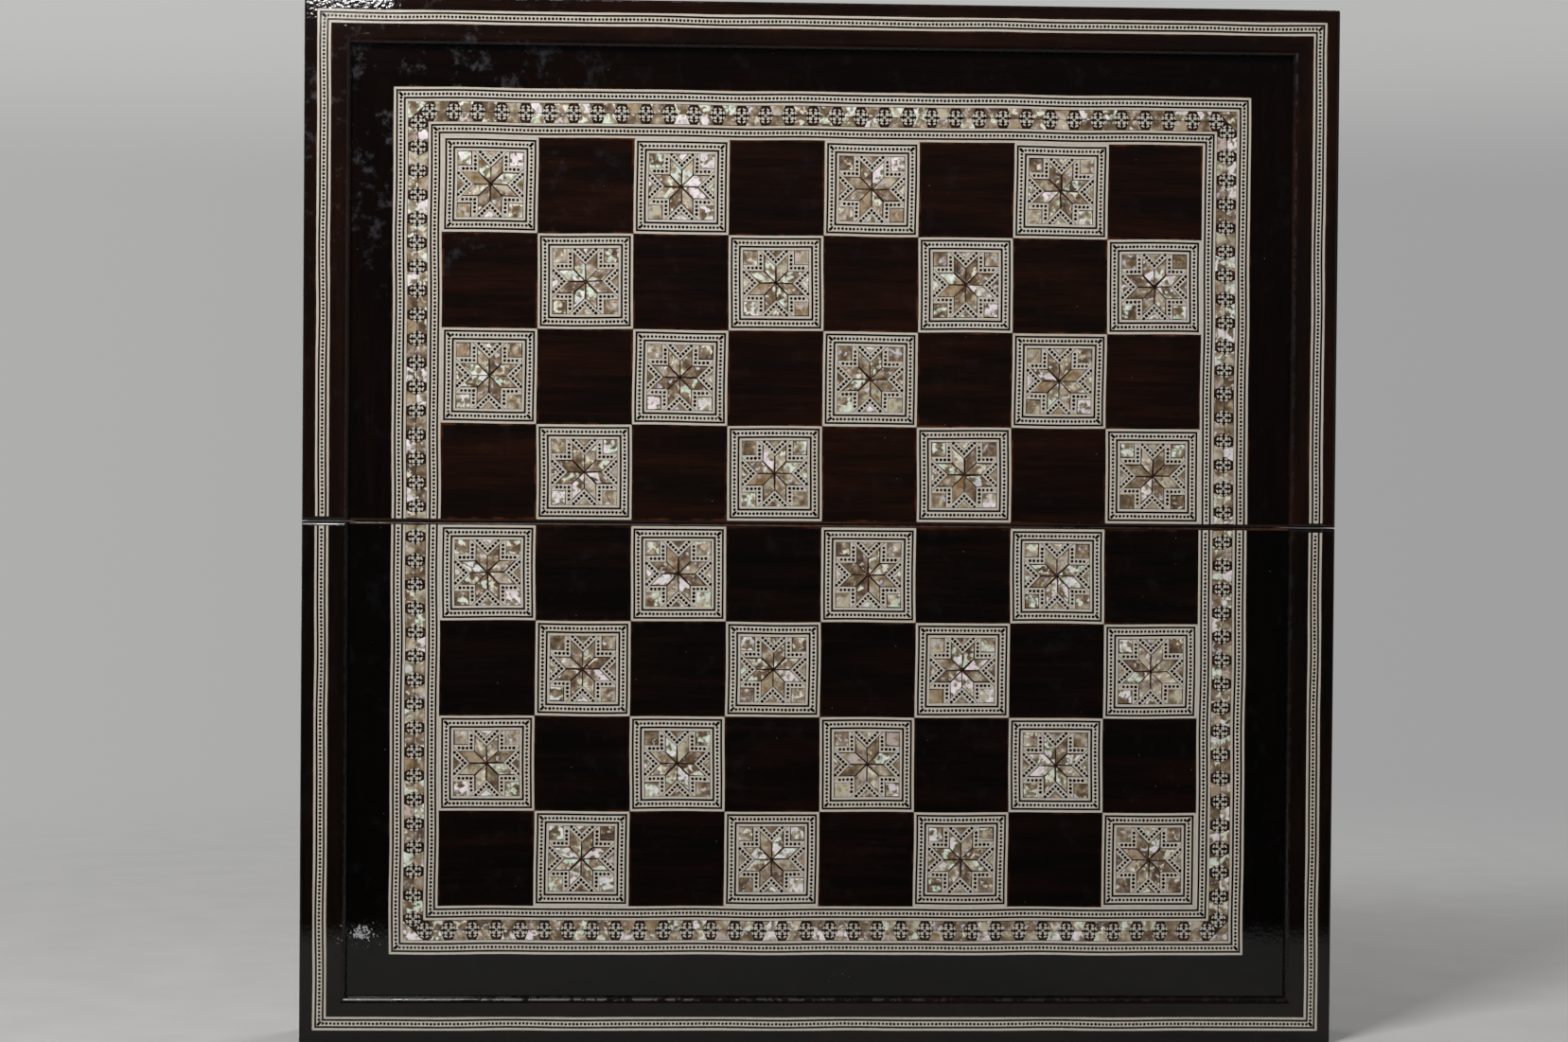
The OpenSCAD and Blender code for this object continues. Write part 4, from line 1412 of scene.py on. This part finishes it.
class BOARD_OT_stage(bpy.types.Operator):
    """Makes the floor, the background, the lamps and the camera"""

    bl_idname = "board.stage"
    bl_label = "Stage"

    def execute(self, context):
        self.stage = context.scene.board_stage
        self.camera(context)
        self.floor()
        self.world(context)
        for name, lamp in LAMPS.items():
            self.lamp(name, *lamp)
        context.scene.view_settings.view_transform = "Standard"
        return {"FINISHED"}

    def camera(self, context):
        """A long lens in front of the board, a little to the left and above its middle."""
        lens = bpy.data.cameras.new("camera")
        lens.lens = self.stage.lens
        camera = bpy.data.objects.new("camera", lens)
        camera.location = Vector(self.stage.place) + Vector((0, 0, SEAM_Z))
        down, roll, right = self.stage.turn
        camera.rotation_euler = (QUARTER - down, roll, -right)
        context.scene.collection.objects.link(camera)
        context.scene.camera = camera

    def lamp(self, name, place, size, power):
        """A rectangular lamp that points at the middle of the board."""
        light = bpy.data.lights.new(name, "AREA")
        light.shape = "RECTANGLE"
        light.size, light.size_y = size
        light.energy = power
        item = bpy.data.objects.new(name, light)
        item.location = place
        aim = Vector((0, 0, SEAM_Z)) - Vector(place)
        item.rotation_euler = aim.to_track_quat("-Z", "Y").to_euler()
        bpy.context.scene.collection.objects.link(item)

    def floor(self):
        """A pale table, painted darker towards the right as painted shade, which fades into the
        background and ends in front in reflections.
        """
        pick()
        below = (0, 0, -0.2 * MM)
        bpy.ops.mesh.primitive_circle_add(vertices=96, radius=3.0, fill_type="NGON", location=below)
        floor = settle(bpy.context.object)
        floor.name = "floor"
        n = Look("pale_floor")
        split = n.add("SeparateXYZ", n.place).node.outputs
        edge = self.stage.table_edge
        cloth = n.add(
            "ValToRGB",
            n.add("TexNoise", {"Vector": n.place, "Scale": 1 / (40 * MM), "Detail": 3.0}),
            stops=[(0.3, "#bcbbb9"), (0.7, "#c2c1bf")],
        )
        # The cloth is painted darker beyond 0.2 m to the right: painted shade of the light falling
        # from the left
        material = n.shade(
            n.add(
                "Mix",
                {0: 1.0, 6: cloth, 7: n.add("MapRange", split["X"], 0.2, 0.6, 1.0, 0.88)},
                data_type="RGBA",
                blend_type="MULTIPLY",
                output=2,
            ),
            0.8,
            {},
        )
        fade = n.add(
            "MapRange",
            n.add("VectorMath", n.place, (0, 0, 0), operation="DISTANCE", output="Value"),
            0.4,
            1.4,
            interpolation_type="SMOOTHSTEP",
        )
        beyond = n.add(
            "MapRange", split["Y"], -edge - 0.1, -edge, 1.0, 0.3, interpolation_type="SMOOTHSTEP"
        )
        beyond = n.add(
            "Math", beyond, n.add("LightPath", output="Is Glossy Ray"), operation="MULTIPLY"
        )
        clear = n.add("BsdfTransparent")
        unseen = n.add("Math", fade, beyond, operation="MAXIMUM")
        n.feed(n.output, {"Surface": n.add("MixShader", unseen, n.shader, clear)})
        floor.data.materials.append(material)

    def world(self, context):
        """Pale grey behind the board, lighter at the left and on top. What the lacquer
        mirrors is a dim room behind the camera, and paler walls at the sides."""
        world = context.scene.world = bpy.data.worlds.new("studio")
        n = Nodes(world)
        split = n.add("SeparateXYZ", n.add("TexCoord", output="Generated")).node.outputs
        wall = n.add(
            "Mix",
            {
                0: n.add("MapRange", split["X"], -0.3, 0.3, interpolation_type="SMOOTHSTEP"),
                6: "#afafae",
                7: "#a0a0a0",
            },
            data_type="RGBA",
            output=2,
        )
        wall = n.add(
            "Mix",
            {
                0: 1.0,
                6: wall,
                7: n.add(
                    "MapRange", split["Z"], 0.09, 0.15, 1.0, 1.16, interpolation_type="SMOOTHSTEP"
                ),
            },
            data_type="RGBA",
            blend_type="MULTIPLY",
            output=2,
        )
        wall = n.add(
            "Mix",
            {
                0: n.add(
                    "MapRange", split["Z"], 0.09, 0.15, 0.0, 0.45, interpolation_type="SMOOTHSTEP"
                ),
                6: wall,
                7: "#c6c6c4",
            },
            data_type="RGBA",
            output=2,
        )
        # How bright the mirrored room is, darker below, and then its walls at the sides
        room = n.add("MapRange", split["Z"], -0.15, 0.2, 0.012, 0.05)
        room = n.add(
            "MapRange",
            n.add("MapRange", split["Y"], -0.9, -0.3, interpolation_type="SMOOTHSTEP"),
            0.0,
            1.0,
            room,
            0.12,
        )
        seen, around, soft = (
            n.add("Background", colour, strength)
            for colour, strength in ((wall, 1.0), ("#ffffff", room), ("#ffffff", 0.135))
        )
        path = n.add("LightPath").node.outputs
        direct = n.add(
            "Math", path["Is Camera Ray"], path["Is Transmission Ray"], operation="MAXIMUM"
        )
        unseen = n.add("MixShader", path["Is Glossy Ray"], soft, around)
        n.add("OutputWorld", n.add("MixShader", direct, unseen, seen))


GROUPS = {
    "board_inlay": InlaySizes,
    "board_tile": TileSizes,
    "board_band": BandSizes,
    "board_colours": FinishColours,
    "board_stage": StageSettings,
}
STEPS = (
    BOARD_OT_wood,
    BOARD_OT_dotted_strips,
    BOARD_OT_star_tiles,
    BOARD_OT_pearl_band,
    BOARD_OT_playing_floor,
    BOARD_OT_hardware,
    BOARD_OT_stage,
)


class BOARD_PT_panel(bpy.types.Panel):
    """Lists the sizes and colours of the board, and its operators"""

    bl_idname = "BOARD_PT_panel"
    bl_label = "Games Board"
    bl_space_type = "VIEW_3D"
    bl_region_type = "UI"
    bl_category = "Games Board"

    def draw(self, context):
        for group, kind in GROUPS.items():
            box = self.layout.box()
            for name in kind.__annotations__:
                box.prop(getattr(context.scene, group), name)
        for operator in STEPS:
            self.layout.operator(operator.bl_idname)


def register():
    for group, kind in GROUPS.items():
        bpy.utils.register_class(kind)
        setattr(bpy.types.Scene, group, PointerProperty(type=kind))
    for kind in (*STEPS, BOARD_PT_panel):
        bpy.utils.register_class(kind)


def unregister():
    for kind in (BOARD_PT_panel, *reversed(STEPS)):
        bpy.utils.unregister_class(kind)
    for group, kind in GROUPS.items():
        delattr(bpy.types.Scene, group)
        bpy.utils.unregister_class(kind)


def main():
    register()
    bpy.ops.board.wood()
    bpy.ops.board.dotted_strips()
    bpy.ops.board.star_tiles()
    bpy.ops.board.pearl_band()
    bpy.ops.board.playing_floor()
    bpy.ops.board.hardware()
    bpy.ops.board.stage()


if __name__ == "__main__":
    main()
